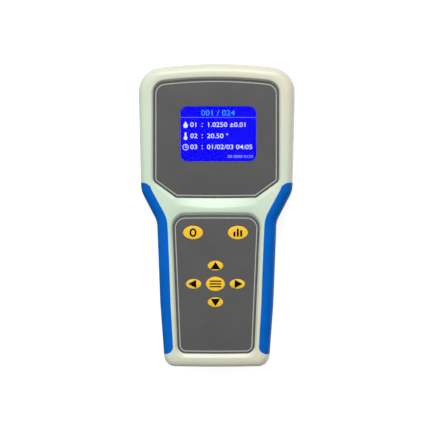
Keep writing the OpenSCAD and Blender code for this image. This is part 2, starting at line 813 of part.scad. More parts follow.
// The door: a plate with the housing's rounded end, tongues along its sides and thumb grooves
door_end_steps = 6;
thumb_grooves = 6;
thumb_pitch = 3;
thumb_w = 1.2;
thumb_depth = 0.6;
thumb_len = 22;
thumb_drop = 10;
module door_plate(half, z_low, z_high) {
  end_points = [for (k = [0:door_end_steps])
    let (z = z_low + (z_high - z_low) * k / door_end_steps, a = asin((edge_r - z) / edge_r))
    [y_end + edge_point(edge_r, a)[0] + 2 * door_gap, z]];
  translate([-half, 0, 0]) rotate([90, 0, 90]) linear_extrude(2 * half)
    polygon(concat([[y_door_top, z_high], [y_door_top, z_low]], end_points));
}

module battery_door() {
  y_thumb = y_door_top - thumb_drop;
  color(shell_colour) difference() {
    union() {
      door_plate(door_half, door_sink, z_door);
      door_plate(door_half + tongue_w, z_tongue, z_tongue + tongue_t);
    }
    for (k = [0:thumb_grooves - 1])
      block([-thumb_len / 2, y_thumb - k * thumb_pitch - thumb_w, door_sink - over],
        [thumb_len / 2, y_thumb - k * thumb_pitch, door_sink + thumb_depth]);
  }
}

cell_places = [for (k = [0:cell_count - 1]) [(k - (cell_count - 1) / 2) * cell_pitch, k % 2]];
button_r = 2.7;
button_h = 1.2;
cell_round = 0.6;
can_len = cell_len - button_h;
contact_half = 0.7 * cell_r;
leaf_t = 0.4;
y_cells = y_bay_end + bay_len / 2;

// One cell's own frame: its button points towards the plate, its base towards the spring
module at_cell(place) {
  translate([place[0], y_cells, z_cell]) rotate([0, 0, 180 * place[1]]) children();
}
cell_base = -bay_len / 2 + spring_len;

module battery_cells() {
  color("#3d6b4a") for (place = cell_places) at_cell(place) lengthways(0, cell_base, 0) rotate_extrude()
    polygon([[0, 0], [cell_r - cell_round, 0], [cell_r, cell_round], [cell_r, can_len - cell_round],
      [cell_r - cell_round, can_len], [button_r, can_len], [button_r, cell_len], [0, cell_len]]);
}

module contact_plates() {
  color(metal_colour) for (place = cell_places) at_cell(place)
    block([-contact_half, bay_len / 2 - plate_t, -contact_half], [contact_half, bay_len / 2, contact_half]);
}

// A bent leaf that bears on the cell's base and on the bay's wall
module contact_springs() {
  foot = -bay_len / 2 + leaf_t / 2;
  path = [[foot, -contact_half], [foot, 0.8 * contact_half], [cell_base - leaf_t, 0],
    [foot + 3 * leaf_t, -0.7 * contact_half]];
  color(metal_colour) for (place = cell_places) at_cell(place) strip(path, 0, cell_r, leaf_t);
}

lead_w = 3;
lead_t = 1.2;
lead_x = 20;
lead_out = 5;
lead_climb = 14;
lead_ease = 6;
lead_sag = 2;
supply_socket_h = 5;
y_supply_socket = y_board_end + socket_inset;
z_supply_socket = z_board_back - supply_socket_h / 2;
module battery_lead() {
  y_wall = y_bay_top + bay_wall;
  z_start = z_cell + lead_sag;
  z_run = z_supply_socket - lead_sag;
  path = [[y_wall, z_start], [y_wall + lead_out, z_start], [y_wall + lead_climb, z_run],
    [y_board_end - lead_ease, z_run], [y_board_end - lead_sag, z_supply_socket],
    [y_supply_socket, z_supply_socket]];
  color("#b0302a") strip(path, lead_x, lead_w, lead_t);
}

// Sensor socket in the top end

y_flange = y_top - socket_sink;
y_socket_seat = y_flange - socket_flange_t - socket_seal_t;
y_socket_wall = y_socket_seat - socket_wall;
y_socket_back = y_flange - socket_flange_t - socket_len;
y_insert = y_flange - socket_bore_len;
flange_play = 0.3;
barrel_play = 0.1;
insert_r = socket_bore_r + insert_step;
contact_count = 4;
contact_circle = 1.7;
contact_tail = 3;
nut_wall = 2.2;
thread_play = 0.05;

module socket_block() {
  half = socket_flange_r + wall;
  block([-half, y_socket_wall, lap], [half, y_top - wall, socket_h + socket_flange_r + flange_play + lap]);
}

module socket_hole() {
  lengthways(0, y_socket_wall - over, socket_h)
    cylinder(h = socket_wall + 2 * over, r = socket_r + barrel_play);
  lengthways(0, y_socket_seat, socket_h)
    cylinder(h = y_top + over - y_socket_seat, r = socket_flange_r + flange_play);
}

module sensor_socket() {
  color(metal_colour) difference() {
    union() {
      lengthways(0, y_socket_back, socket_h) cylinder(h = y_flange - y_socket_back, r = socket_r);
      lengthways(0, y_flange - socket_flange_t, socket_h) cylinder(h = socket_flange_t, r = socket_flange_r);
    }
    lengthways(0, y_socket_back - over, socket_h)
      cylinder(h = y_flange - y_socket_back + 2 * over, r = socket_bore_r);
    lengthways(0, y_socket_back - over, socket_h)
      cylinder(h = y_insert - y_socket_back + over, r = insert_r);
  }
}

module contact_places() {
  for (k = [0:contact_count - 1]) rotate([0, 360 * (k + 0.5) / contact_count, 0])
    translate([contact_circle, 0, 0]) children();
}

module socket_insert() {
  color(black_colour) difference() {
    lengthways(0, y_socket_back, socket_h) cylinder(h = y_insert - y_socket_back, r = insert_r);
    translate([0, y_socket_back - over, socket_h]) contact_places()
      lengthways(0, 0, 0) cylinder(h = y_insert - y_socket_back + 2 * over, r = contact_r);
  }
}

module socket_contacts() {
  color("#d8b04a") translate([0, y_socket_back - contact_tail, socket_h]) contact_places()
    lengthways(0, 0, 0) cylinder(h = y_insert - y_socket_back + contact_tail, r = contact_r);
}

module socket_nut() {
  color(metal_colour) difference() {
    lengthways(0, y_socket_wall - nut_t, socket_h) cylinder(h = nut_t, r = socket_r + nut_wall, $fn = 6);
    lengthways(0, y_socket_wall - nut_t - over, socket_h)
      cylinder(h = nut_t + 2 * over, r = socket_r + thread_play);
  }
}

module socket_seal() {
  color(black_colour) difference() {
    lengthways(0, y_socket_seat, socket_h) cylinder(h = socket_seal_t, r = socket_flange_r - thread_play);
    lengthways(0, y_socket_seat - over, socket_h)
      cylinder(h = socket_seal_t + 2 * over, r = socket_r + thread_play);
  }
}

sensor_socket_drop = 14;
sensor_socket_h = 4;
sensor_lead_w = 5;
sensor_lead_t = 1.1;
sensor_lead_bend = 4.5;
y_sensor_socket = y_board_top - sensor_socket_drop;
z_sensor_socket = z_board_back - sensor_socket_h;
module sensor_lead() {
  y_start = y_socket_back - contact_tail;
  path = [[y_start, socket_h], [y_sensor_socket + sensor_lead_bend, socket_h],
    [y_sensor_socket, socket_h + sensor_lead_bend], [y_sensor_socket, z_sensor_socket]];
  color("#6d7076") strip(path, 0, sensor_lead_w, sensor_lead_t);
}

// The inside of the rear shell is stepped in at its floor, to keep the wall behind the rounded edge
module rear_housing() {
  bevel_h = wall;
  bevel_in = 0.7 * wall;
  color(shell_colour) difference() {
    union() {
      difference() {
        rear_form();
        plate(inset_each(body_line, wall_line), wall + bevel_h, part_h - wall - bevel_h + over);
        plate(inset_each(body_line, wall_offset(bevel_in)), wall, bevel_h + over);
        grip_channels();
      }
      rear_posts();
      bay_block();
      socket_block();
    }
    screw_wells();
    bay_cut();
    socket_hole();
    seal_ring(part_h - seal_h, seal_h + over);
  }
}

// Display stack

module display_panel() {
  color(panel_colour) difference() {
    plate(inset(display_line, panel_gap), z_display_floor, display_plate_t);
    translate([window_shift, y_window, z_display_floor - over]) linear_extrude(display_plate_t + 2 * over)
      polygon(rounded_rect(window_w, window_len, window_r));
  }
}

module display_window() {
  color("#bcd0e8") translate([window_shift, y_window, z_display_floor])
    linear_extrude(display_plate_t - window_sink)
      polygon(rounded_rect(window_w - 2 * panel_gap, window_len - 2 * panel_gap, window_r - panel_gap));
}

lcd_gap = 0.1;
lcd_corner = 0.8;
frame_corner = 1.6;
z_glass = z_ceiling - lcd_gap - glass_t;
z_backlight = z_glass - backlight_t;
flex_w = 16;
flex_shift = 4;
flex_t = 0.3;
flex_notch = 1;
module at_display(z) {
  translate([window_shift, y_window, z]) children();
}

module lcd_glass() {
  color("#0a08f0") at_display(z_glass) linear_extrude(glass_t)
    polygon(rounded_rect(lcd_w, lcd_len, lcd_corner));
}

module lcd_backlight() {
  color("#e8ebee") at_display(z_backlight) linear_extrude(backlight_t)
    polygon(rounded_rect(lcd_w, lcd_len, lcd_corner));
}

module lcd_frame() {
  outer_w = lcd_w + 2 * lcd_gap + 2 * frame_wall;
  outer_len = lcd_len + 2 * lcd_gap + 2 * frame_wall;
  color(black_colour) at_display(z_board) difference() {
    linear_extrude(board_gap - lcd_gap) polygon(rounded_rect(outer_w, outer_len, frame_corner));
    translate([0, 0, z_backlight - z_board])
      linear_extrude(board_gap) polygon(rounded_rect(lcd_w + 2 * lcd_gap, lcd_len + 2 * lcd_gap, lcd_corner));
    translate([0, 0, -over]) linear_extrude(board_gap + 2 * over)
      polygon(rounded_rect(lcd_w - 2 * frame_wall, lcd_len - 2 * frame_wall, lcd_corner));
    block([flex_shift - flex_w / 2 - flex_notch, -outer_len, z_glass - z_board - flex_notch],
      [flex_shift + flex_w / 2 + flex_notch, -lcd_len / 2, board_gap + over]);
  }
}

flex_x = window_shift + flex_shift;
flex_socket_rise = 6;
flex_socket_len = 5;
flex_socket_h = 1.6;
y_flex_socket = y_board_end + flex_socket_rise;
z_flex_socket = z_board + flex_socket_h / 2;
module lcd_flex() {
  y_glass = y_window - lcd_len / 2;
  z_start = z_glass + glass_t / 2;
  path = [[y_glass, z_start], [y_glass - frame_wall - flex_notch, z_start],
    [y_flex_socket + flex_notch, z_flex_socket], [y_flex_socket, z_flex_socket]];
  color(film_colour) strip(path, flex_x, flex_w, flex_t);
}

// Keypad stack: outline layers with an opening for each key

upper_y = y_keypad_top - upper_drop;
menu_y = y_keypad_top - menu_drop;
upper_size = [upper_key_w, upper_key_len];
menu_size = [menu_key_w, menu_key_len];
arrow_size = [arrow_key_w, arrow_key_len];
zero_place = [keys_x - upper_pitch / 2, upper_y];
mode_place = [keys_x + upper_pitch / 2, upper_y];
menu_place = [keys_x, menu_y];
up_place = [keys_x, menu_y + arrow_pitch_y];
down_place = [keys_x, menu_y - arrow_pitch_y];
left_place = [keys_x - arrow_pitch_x, menu_y];
right_place = [keys_x + arrow_pitch_x, menu_y];
keys = [[zero_place, upper_size], [mode_place, upper_size], [menu_place, menu_size], [up_place, arrow_size],
  [down_place, arrow_size], [left_place, arrow_size], [right_place, arrow_size]];
key_steps = 40;
crown_steps = 24;

module key_openings(z, h, grow) {
  for (k = keys) translate([k[0][0], k[0][1], z]) linear_extrude(h)
    polygon(ellipse_line(k[1][0] + 2 * grow, k[1][1] + 2 * grow, key_steps));
}

module keypad_overlay() {
  color(panel_colour) difference() {
    plate(inset(keypad_line, panel_gap), z_overlay, overlay_t);
    key_openings(z_overlay - over, overlay_t + 2 * over, key_gap);
  }
}

module keypad_spacer() {
  color("#8a8d90") difference() {
    plate(inset(keypad_line, panel_gap), z_spacer, spacer_t);
    key_openings(z_spacer - over, spacer_t + 2 * over, key_flange_w + key_gap);
  }
}

module keypad_circuit() {
  color(film_colour) plate(inset(keypad_line, panel_gap), z_keypad_floor, circuit_t);
}

module keypad_domes() {
  color(metal_colour) for (k = keys) translate([k[0][0], k[0][1], z_spacer]) rotate_extrude()
    polygon([[0, 0], [dome_r, 0], [dome_r, 0.3 * dome_h], [0.6 * dome_r, 0.8 * dome_h],
      [0.25 * dome_r, dome_h], [0, dome_h]]);
}

// One key: a flange kept under the film, an oval pad through it and a low crown
z_flange = z_overlay - key_lift - key_flange_t;
module key(place, size) {
  z_edge = z_panel + key_edge_h;
  flange = size + 2 * key_flange_w * [1, 1];
  // Shares of the key's size and heights over its edge, from the crown's root up
  crown = [[0.88, -key_edge_h], [0.88, 0.1 * key_crown_h], [0.8, 0.55 * key_crown_h],
    [0.6, 0.85 * key_crown_h], [0.3, key_crown_h]];
  rings = [for (c = crown)
    at_height(ellipse_line(size[0] * c[0], size[1] * c[0], crown_steps), z_edge + c[1])];
  color(key_colour) translate([place[0], place[1], 0]) {
    plate(ellipse_line(flange[0], flange[1], key_steps), z_flange, key_flange_t);
    plate(ellipse_line(size[0], size[1], key_steps), z_flange, z_edge - z_flange);
    loft(rings, 0);
  }
}

module zero_key() { key(zero_place, upper_size); }
module mode_key() { key(mode_place, upper_size); }
module menu_key() { key(menu_place, menu_size); }
module up_key() { key(up_place, arrow_size); }
module down_key() { key(down_place, arrow_size); }
module left_key() { key(left_place, arrow_size); }
module right_key() { key(right_place, arrow_size); }

// Board and what it carries. Places on the board are shares of its half width and of its length.

module on_board_back(place) {
  translate([place[0] * board_w / 2, y_board_end + place[1] * board_len, z_board_back])
    mirror([0, 0, 1]) children();
}

board_corner = 2;
module main_board() {
  color("#1f6b3a") difference() {
    translate([0, (y_board_top + y_board_end) / 2, z_board_back]) linear_extrude(board_t)
      polygon(rounded_rect(board_w, board_len, board_corner));
    board_bores(z_board_back - over, board_t + 2 * over);
  }
}

chip_t = 1.6;
main_chip_w = 14;
memory_chip_w = 10;
driver_chip_w = 6;
module chip(place, w, l) {
  on_board_back(place) translate([-w / 2, -l / 2, 0]) cube([w, l, chip_t]);
}

module board_chips() {
  color(black_colour) {
    chip([-0.27, 0.58], main_chip_w, main_chip_w);
    chip([-0.7, 0.72], memory_chip_w, driver_chip_w);
    chip([-0.73, 0.53], driver_chip_w, 0.8 * driver_chip_w);
    chip([0.81, 0.28], driver_chip_w, 0.6 * driver_chip_w);
  }
}

capacitor_r = 3.2;
capacitor_h = 7;
module capacitor(place, share) {
  on_board_back(place) cylinder(h = share * capacitor_h, r = share * capacitor_r);
}

module board_capacitors() {
  color("#30343c") {
    capacitor([-0.84, 0.33], 1);
    capacitor([-0.84, 0.21], 0.8);
    capacitor([0.27, 0.11], 0.8);
  }
}

crystal_w = 11;
crystal_len = 4.6;
crystal_h = 3.5;
module clock_crystal() {
  color(metal_colour) on_board_back([0.14, 0.31]) linear_extrude(crystal_h)
    polygon(rounded_rect(crystal_w, crystal_len, 0.48 * crystal_len));
}

// Sockets for the two flat tails on the front of the board, and for the two leads on its back
socket_cheek = 1.5;
module board_connectors() {
  color("#e6e0d0") {
    block([tail_x - tail_w / 2 - socket_cheek, y_tail_socket, z_board],
      [tail_x + tail_w / 2 + socket_cheek, y_tail_socket + tail_socket_len, z_board + tail_socket_h]);
    block([flex_x - flex_w / 2 - socket_cheek, y_flex_socket - flex_socket_len, z_board],
      [flex_x + flex_w / 2 + socket_cheek, y_flex_socket, z_board + flex_socket_h]);
    block([lead_x - lead_w / 2 - socket_cheek, y_supply_socket, z_board_back - supply_socket_h],
      [lead_x + lead_w / 2 + socket_cheek, y_supply_socket + supply_socket_h, z_board_back]);
    block([-sensor_lead_w / 2 - socket_cheek, y_sensor_socket - sensor_socket_h / 2, z_sensor_socket],
      [sensor_lead_w / 2 + socket_cheek, y_sensor_socket + sensor_socket_h / 2, z_board_back]);
  }
}

coin_r = 10;
coin_t = 3.2;
coin_place = [0.6, 0.58];
holder_wall = 1.2;
holder_floor = 1;
holder_play = 0.1;
module coin_cell_holder() {
  color(black_colour) on_board_back(coin_place) difference() {
    cylinder(h = coin_t + holder_floor, r = coin_r + holder_wall);
    translate([0, 0, holder_floor]) cylinder(h = coin_t + over, r = coin_r + holder_play);
    translate([0, 0, holder_floor + coin_t / 2]) linear_extrude(coin_t)
      square([coin_r, 3 * coin_r], center = true);
  }
}

module coin_cell() {
  color(metal_colour) on_board_back(coin_place) translate([0, 0, holder_floor])
    cylinder(h = coin_t, r = coin_r);
}

buzzer_r = 6;
buzzer_h = 7;
buzzer_hole_r = 1;
buzzer_place = [-0.32, 0.22];
module buzzer() {
  color(black_colour) on_board_back(buzzer_place) difference() {
    cylinder(h = buzzer_h, r = buzzer_r);
    translate([0, 0, 0.8 * buzzer_h]) cylinder(h = buzzer_h, r = buzzer_hole_r);
  }
}

front_housing();
rear_housing();
housing_seal();
left_grip();
right_grip();
display_panel();
display_window();
keypad_overlay();
keypad_spacer();
keypad_domes();
keypad_circuit();
keypad_tail();
zero_key();
mode_key();
up_key();
down_key();
left_key();
right_key();
menu_key();
lcd_glass();
lcd_backlight();
lcd_frame();
lcd_flex();
main_board();
board_chips();
board_capacitors();
clock_crystal();
board_connectors();
board_screws();
coin_cell();
coin_cell_holder();
buzzer();
sensor_socket();
socket_insert();
socket_contacts();
socket_nut();
socket_seal();
sensor_lead();
battery_cells();
contact_plates();
contact_springs();
battery_lead();
battery_door();
housing_screws();
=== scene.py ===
"""Looks of a handheld density meter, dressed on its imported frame. Shapes are worked out in millimetres."""

import json
import math

import bmesh
import bpy
import numpy as np
from mathutils import Matrix, Vector
from mathutils.geometry import delaunay_2d_cdt

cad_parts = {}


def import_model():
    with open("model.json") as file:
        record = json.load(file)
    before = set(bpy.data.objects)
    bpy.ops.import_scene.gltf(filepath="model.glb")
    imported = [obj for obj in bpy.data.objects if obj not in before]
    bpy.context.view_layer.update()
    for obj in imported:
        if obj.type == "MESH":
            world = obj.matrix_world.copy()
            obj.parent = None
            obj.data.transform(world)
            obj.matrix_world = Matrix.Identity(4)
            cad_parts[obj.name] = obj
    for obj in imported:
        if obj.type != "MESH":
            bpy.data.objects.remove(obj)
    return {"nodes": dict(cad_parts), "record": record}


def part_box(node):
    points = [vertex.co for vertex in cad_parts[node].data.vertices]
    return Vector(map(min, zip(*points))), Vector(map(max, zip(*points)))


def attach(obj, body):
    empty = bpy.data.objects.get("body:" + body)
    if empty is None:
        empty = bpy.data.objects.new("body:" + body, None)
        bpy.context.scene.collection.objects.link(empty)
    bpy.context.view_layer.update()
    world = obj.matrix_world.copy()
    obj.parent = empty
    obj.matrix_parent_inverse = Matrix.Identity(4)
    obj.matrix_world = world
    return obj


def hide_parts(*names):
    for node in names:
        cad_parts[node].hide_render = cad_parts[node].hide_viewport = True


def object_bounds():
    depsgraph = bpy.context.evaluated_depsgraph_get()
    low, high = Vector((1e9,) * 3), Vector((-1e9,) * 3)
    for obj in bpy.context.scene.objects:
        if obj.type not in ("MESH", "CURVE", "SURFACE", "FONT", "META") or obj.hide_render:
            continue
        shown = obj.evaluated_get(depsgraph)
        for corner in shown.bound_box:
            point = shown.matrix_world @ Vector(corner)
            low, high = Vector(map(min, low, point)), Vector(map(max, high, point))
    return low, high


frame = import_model()
cad_low, cad_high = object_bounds()
NODES = frame["nodes"]
PER_METRE = 1000.0
MM = 1 / PER_METRE
FIXED = "housing"


def box_mm(node):
    """Lowest and highest corner of a CAD node, in millimetres."""
    low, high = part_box(node)
    return np.array(low) * PER_METRE, np.array(high) * PER_METRE


# Levels and places read from the frame

_front_low, _front_high = box_mm("front_housing")
_panel_low, _panel_high = box_mm("display_panel")
_film_low, _film_high = box_mm("keypad_overlay")
_window_low, _window_high = box_mm("display_window")
_grip_low, _grip_high = box_mm("right_grip")
Z_PART, Z_CREST = _front_low[2], _front_high[2]
Y_END, Y_TOP = _front_low[1], _front_high[1]
Z_PANEL, Z_PANEL_FLOOR = _panel_high[2], _panel_low[2]
Z_FILM = _film_low[2]
Y_GRIP_TIP, Y_GRIP_FOOT = _grip_high[1], _grip_low[1]
WINDOW_CENTRE = (_window_low + _window_high)[:2] / 2
WINDOW_SIZE = (_window_high - _window_low)[:2]
Z_WINDOW = _window_high[2]
CEILING_GAP = 0.1
Z_CEILING = box_mm("lcd_glass")[1][2] + CEILING_GAP
Z_KEYPAD_FLOOR = box_mm("keypad_circuit")[0][2]

# Sizes of the housing
HEAD_W = 103.8
SHOULDER_W = 100.0
HANDLE_W = 78.8
HANDLE_MID_W = 74.8
HANDLE_END_W = 68.6
SHOULDER_DROP = 83.8
SHOULDER_LEN = 20.2
HANDLE_MID_RISE = 42.0
TOP_CORNER_R = 16.0
SHOULDER_R = 16.0
NECK_R = 14.0
HANDLE_BOW_R = 400.0
END_CORNER_R = 7.6
TOP_ARCH_R = 290.0
END_ARCH_R = 1200.0
EDGE_R = 5.6
END_EDGE_REACH = 5.2
END_EDGE_DEPTH = 2.6
SIDE_DRAFT = 0.6
WALL = 2.5
SEAM = 0.3

# Sizes of the panels and of the lips around them
PANEL_GAP = 0.15
DISPLAY_W = _panel_high[0] - _panel_low[0] + 2 * PANEL_GAP
Y_DISPLAY_TOP = _panel_high[1] + PANEL_GAP
Y_DISPLAY_END = _panel_low[1] - PANEL_GAP
CORNER_CUT_X = 15.0
FOOT_HALF = DISPLAY_W / 2 - CORNER_CUT_X
CORNER_CUT_Y = 10.9
CUT_TOP_R = 4.0
CUT_END_R = 1.5
DISPLAY_R = 8.0
DISPLAY_ARCH_R = 300.0
BRIDGE_ARCH_R = 900.0
KEYPAD_TOP_W = 58.0
KEYPAD_END_W = 50.2
Y_KEYPAD_TOP = _film_high[1] + PANEL_GAP
Y_KEYPAD_END = _film_low[1] - PANEL_GAP
KEYPAD_TOP_R = 8.5
KEYPAD_END_R = 5.6
KEYPAD_ARCH_R = 1500.0
CORNER_REACH = 1.15
LIP_W = 1.6
TOP_LIP_W = 1.5
BRIDGE_LIP_W = 6.3
BRIDGE_LIP_FADE = 0.45
BRIDGE_DROP_FADE = 0.74
KEYPAD_LIP_W = 2.2
KEYPAD_SIDE_LIP_W = 2.0
END_LIP_W = 2.6
END_DROP_FADE = 0.45
LIP_FOOT = 0.1
LIP_POWER = 2.0
TOP_LIP_POWER = 1.25
FOOT_LIP_POWER = 1.05
LIP_TURN = 8.0

# Sizes of the grips
GRIP_W = 6.9
GRIP_SWELL = 0.7
GRIP_REAR_W = 6.0
GRIP_TIP_W = 1.6
GRIP_ROUND = 4.2
GRIP_T = 1.95
GRIP_ROLL = 0.4
GRIP_SINK = 0.12
POCKET_EDGE = 0.3
POCKET_SLOPE = 2.0
POCKET_MARGIN = 0.15
POCKET_STEP = 0.02
POCKET_GAP = 0.05
GRIP_SHARP_DEG = 60
CREST_MARGIN = 0.3
UNDER_ROWS = 10
CREST_ROWS = 10

# Sizes of the window and the keys
WINDOW_R = 4.9
WINDOW_LEDGE = 0.65
COVER_T = 0.6
SCREEN_GAP = 0.1
Z_COVER = Z_WINDOW - COVER_T
Z_SCREEN = Z_COVER - SCREEN_GAP
KEY_GAP = 0.15
KEY_FLANGE_W = 0.8
KEY_FLANGE_GAP = 0.05
KEY_CROWN = 0.27
KEY_ROLL = 0.22
PLATE_ROLL = 0.2
FILM_ROLL = 0.1
LINE_INSET = 1.45
LINE_W = 0.6
PRINT_T = 0.03

# Steps and tolerances of the meshes
SPACING = 1.4
FINE_SPACING = 0.5
CORNER_STEPS = 6
CORNER_TURN = 0.12
SHARPEST_R = 0.5
SAME_POINT = 1e-4
SIDE_SLOPE = 0.5
STATION_ROOM = 0.3
OVAL_STEPS = 64
ROLL_STEPS = 4
SIDE_ROWS = 5
LIP_ROWS = 15
LIP_BUNCH = 1.4
GRIP_ROWS = 110
GRIP_SIDE_ROWS = 24
PLAN_WELD = 1e-7
WELD_M = 1e-8
SHARP_DEG = 38


# Outlines in plan: points with their outward normals, running clockwise

def unit(v):
    return v / np.linalg.norm(v)


def left_of(v):
    return np.array((-v[1], v[0]))


def inset_corners(corners, inset):
    """Corners of an outline whose straight sides have all moved inwards."""
    points = [np.array(c[:2]) for c in corners]
    count = len(points)
    moved = []
    for i in range(count):
        before = unit(points[i] - points[i - 1])
        after = unit(points[(i + 1) % count] - points[i])
        bisector = unit(left_of(before) + left_of(after))
        reach = inset / np.dot(bisector, left_of(before))
        point = points[i] - bisector * reach
        turn = before[0] * after[1] - before[1] * after[0]
        radius = corners[i][2] - inset if turn < 0 else corners[i][2] + inset
        moved.append((point[0], point[1], max(radius, SHARPEST_R)))
    return moved


def side_points(a, b, spacing):
    """Points along a straight side, without its ends."""
    count = int(np.linalg.norm(b - a) // spacing)
    return [a + (b - a) * (k / count) for k in range(1, count)]


def outline(corners, inset=0.0, spacing=SPACING):
    """Points and outward normals of rounded corners (x, y, radius) and the straight sides between them."""
    if inset:
        corners = inset_corners(corners, inset)
    points, normals = [], []
    count = len(corners)
    for i in range(count):
        here = np.array(corners[i][:2])
        radius = corners[i][2]
        way_in = unit(here - np.array(corners[i - 1][:2]))
        way_out = unit(np.array(corners[(i + 1) % count][:2]) - here)
        turn = math.atan2(way_in[0] * way_out[1] - way_in[1] * way_out[0], float(np.dot(way_in, way_out)))
        side = 1 if turn < 0 else -1
        normal = left_of(way_in)
        start = here - way_in * radius * math.tan(abs(turn) / 2)
        centre = start - side * radius * normal
        angle = math.atan2(normal[1], normal[0])
        bend = abs(turn)
        steps = max(CORNER_STEPS, math.ceil(bend * radius / spacing), math.ceil(bend / CORNER_TURN))
        if points:
            between = side_points(points[-1], start, spacing)
            points += between
            normals += [normal] * len(between)
        for k in range(steps + 1):
            a = angle + turn * k / steps
            n = np.array((math.cos(a), math.sin(a)))
            points.append(centre + side * radius * n)
            normals.append(n)
    between = side_points(points[-1], points[0], spacing)
    points += between
    normals += [normals[0]] * len(between)
    points, normals = np.array(points), np.array(normals)
    apart = np.linalg.norm(points - np.roll(points, 1, axis=0), axis=1) > SAME_POINT
    return points[apart], normals[apart]


GRIP_END_STEPS = (0.4, 0.8, 1.4, 2.2, 3.2)


def grip_ends():
    """Heights close together along both ends of the grips, where their borders turn."""
    steps = np.array([0, POCKET_MARGIN + POCKET_STEP, *GRIP_END_STEPS, GRIP_ROUND])
    return np.concatenate((Y_GRIP_TIP - steps, Y_GRIP_FOOT + steps))


def with_stations(points, normals, heights):
    """The outline with points where its sides pass the given heights, in place of its own close by."""
    rows = []
    next_points, next_normals = np.roll(points, -1, axis=0), np.roll(normals, -1, axis=0)
    for a, b, normal, following in zip(points, next_points, normals, next_normals):
        on_side = abs(normal[0]) > SIDE_SLOPE
        if not on_side or np.abs(heights - a[1]).min() > STATION_ROOM:
            rows.append((a, normal))
        if not on_side or a[1] == b[1]:
            continue
        shares = (heights - a[1]) / (b[1] - a[1])
        for t in np.sort(shares[(shares >= 0) & (shares < 1)]):
            rows.append((a + (b - a) * t, unit(normal + (following - normal) * t)))
    return np.array([r[0] for r in rows]), np.array([r[1] for r in rows])


def mirrored(top, right, end):
    """Corners all round, from those at the right (width, y, radius) and two on the axis (y, radius)."""
    right, left = ([(way * width / 2, y, r) for width, y, r in right] for way in (1, -1))
    return [(0, *top), *right, (0, *end), *reversed(left)]


def arch(half, corner_r, arch_r):
    """Rise of an arched side's virtual peak over its crown, and its fall from there to the corner."""
    slope = math.asin((half - corner_r) / arch_r)
    return arch_r * (1 / math.cos(slope) - 1), half * math.tan(slope)


def body_corners():
    rise, fall = arch(HEAD_W / 2, TOP_CORNER_R, TOP_ARCH_R)
    end_rise, end_fall = arch(HANDLE_END_W / 2, END_CORNER_R, END_ARCH_R)
    y_peak, y_foot, y_shoulder = Y_TOP + rise, Y_END - end_rise, Y_TOP - SHOULDER_DROP
    right = [
        (HEAD_W, y_peak - fall, TOP_CORNER_R),
        (SHOULDER_W, y_shoulder, SHOULDER_R),
        (HANDLE_W, y_shoulder - SHOULDER_LEN, NECK_R),
        (HANDLE_MID_W, Y_END + HANDLE_MID_RISE, HANDLE_BOW_R),
        (HANDLE_END_W, y_foot + end_fall, END_CORNER_R),
    ]
    return mirrored((y_peak, TOP_ARCH_R), right, (y_foot, END_ARCH_R))


def display_corners():
    rise, fall = arch(DISPLAY_W / 2, DISPLAY_R, DISPLAY_ARCH_R)
    bridge_rise, _ = arch(FOOT_HALF, CUT_END_R, BRIDGE_ARCH_R)
    y_peak = Y_DISPLAY_TOP + rise
    right = [
        (DISPLAY_W, y_peak - fall, DISPLAY_R),
        (DISPLAY_W, Y_DISPLAY_END + CORNER_CUT_Y, CUT_TOP_R),
        (2 * FOOT_HALF, Y_DISPLAY_END, CUT_END_R),
    ]
    return mirrored((y_peak, DISPLAY_ARCH_R), right, (Y_DISPLAY_END - bridge_rise, BRIDGE_ARCH_R))


def keypad_corners():
    rise, fall = arch(KEYPAD_TOP_W / 2, CORNER_REACH * KEYPAD_TOP_R, KEYPAD_ARCH_R)
    end_rise, end_fall = arch(KEYPAD_END_W / 2, CORNER_REACH * KEYPAD_END_R, KEYPAD_ARCH_R)
    y_peak, y_foot = Y_KEYPAD_TOP + rise, Y_KEYPAD_END - end_rise
    right = [
        (KEYPAD_TOP_W, y_peak - fall, KEYPAD_TOP_R),
        (KEYPAD_END_W, y_foot + end_fall, KEYPAD_END_R),
    ]
    return mirrored((y_peak, KEYPAD_ARCH_R), right, (y_foot, KEYPAD_ARCH_R))


def rounded_rect(centre, size, radius):
    x, y = size[0] / 2, size[1] / 2
    corners = [(x, y, radius), (x, -y, radius), (-x, -y, radius), (-x, y, radius)]
    corners = [(centre[0] + cx, centre[1] + cy, r) for cx, cy, r in corners]
    return outline(corners, spacing=FINE_SPACING)[0]


def ellipse(centre, half_w, half_l, steps=OVAL_STEPS):
    a = np.linspace(0, 2 * math.pi, steps, endpoint=False)
    return np.stack((centre[0] + half_w * np.sin(a), centre[1] + half_l * np.cos(a)), axis=1)


# Meshes

def inside(polygon, point):
    """Whether a point lies in a closed polygon, by crossings."""
    a, b = polygon, np.roll(polygon, -1, axis=0)
    spans = (a[:, 1] > point[1]) != (b[:, 1] > point[1])
    (ax, ay), (bx, by) = a[spans].T, b[spans].T
    return (point[0] < ax + (point[1] - ay) * (bx - ax) / (by - ay)).sum() % 2 == 1


def triangulate(loops, extra=()):
    """Points, origin indices and upward triangles over the area inside an odd number of the loops."""
    points = [Vector(p) for loop in loops for p in loop]
    sides, start = [], 0
    for loop in loops:
        sides += [(start + i, start + (i + 1) % len(loop)) for i in range(len(loop))]
        start += len(loop)
    points += [Vector(p) for p in extra]
    made, edges, faces, origin, crossed, _ = delaunay_2d_cdt(points, sides, [], 0, PLAN_WELD, True)
    made = np.array([tuple(p) for p in made])
    fences = {frozenset(edge): len(loops_there) for edge, loops_there in zip(edges, crossed)}
    kept = [f for f, keep in zip(faces, inside_faces(made, faces, fences, loops)) if keep]
    return made, origin, [f if area(made, f) > 0 else f[::-1] for f in map(tuple, kept)]


def area(points, face):
    """Twice the area of a triangle, positive when it runs anticlockwise."""
    a, b, c = (points[i] for i in face)
    return (b[0] - a[0]) * (c[1] - a[1]) - (b[1] - a[1]) * (c[0] - a[0])


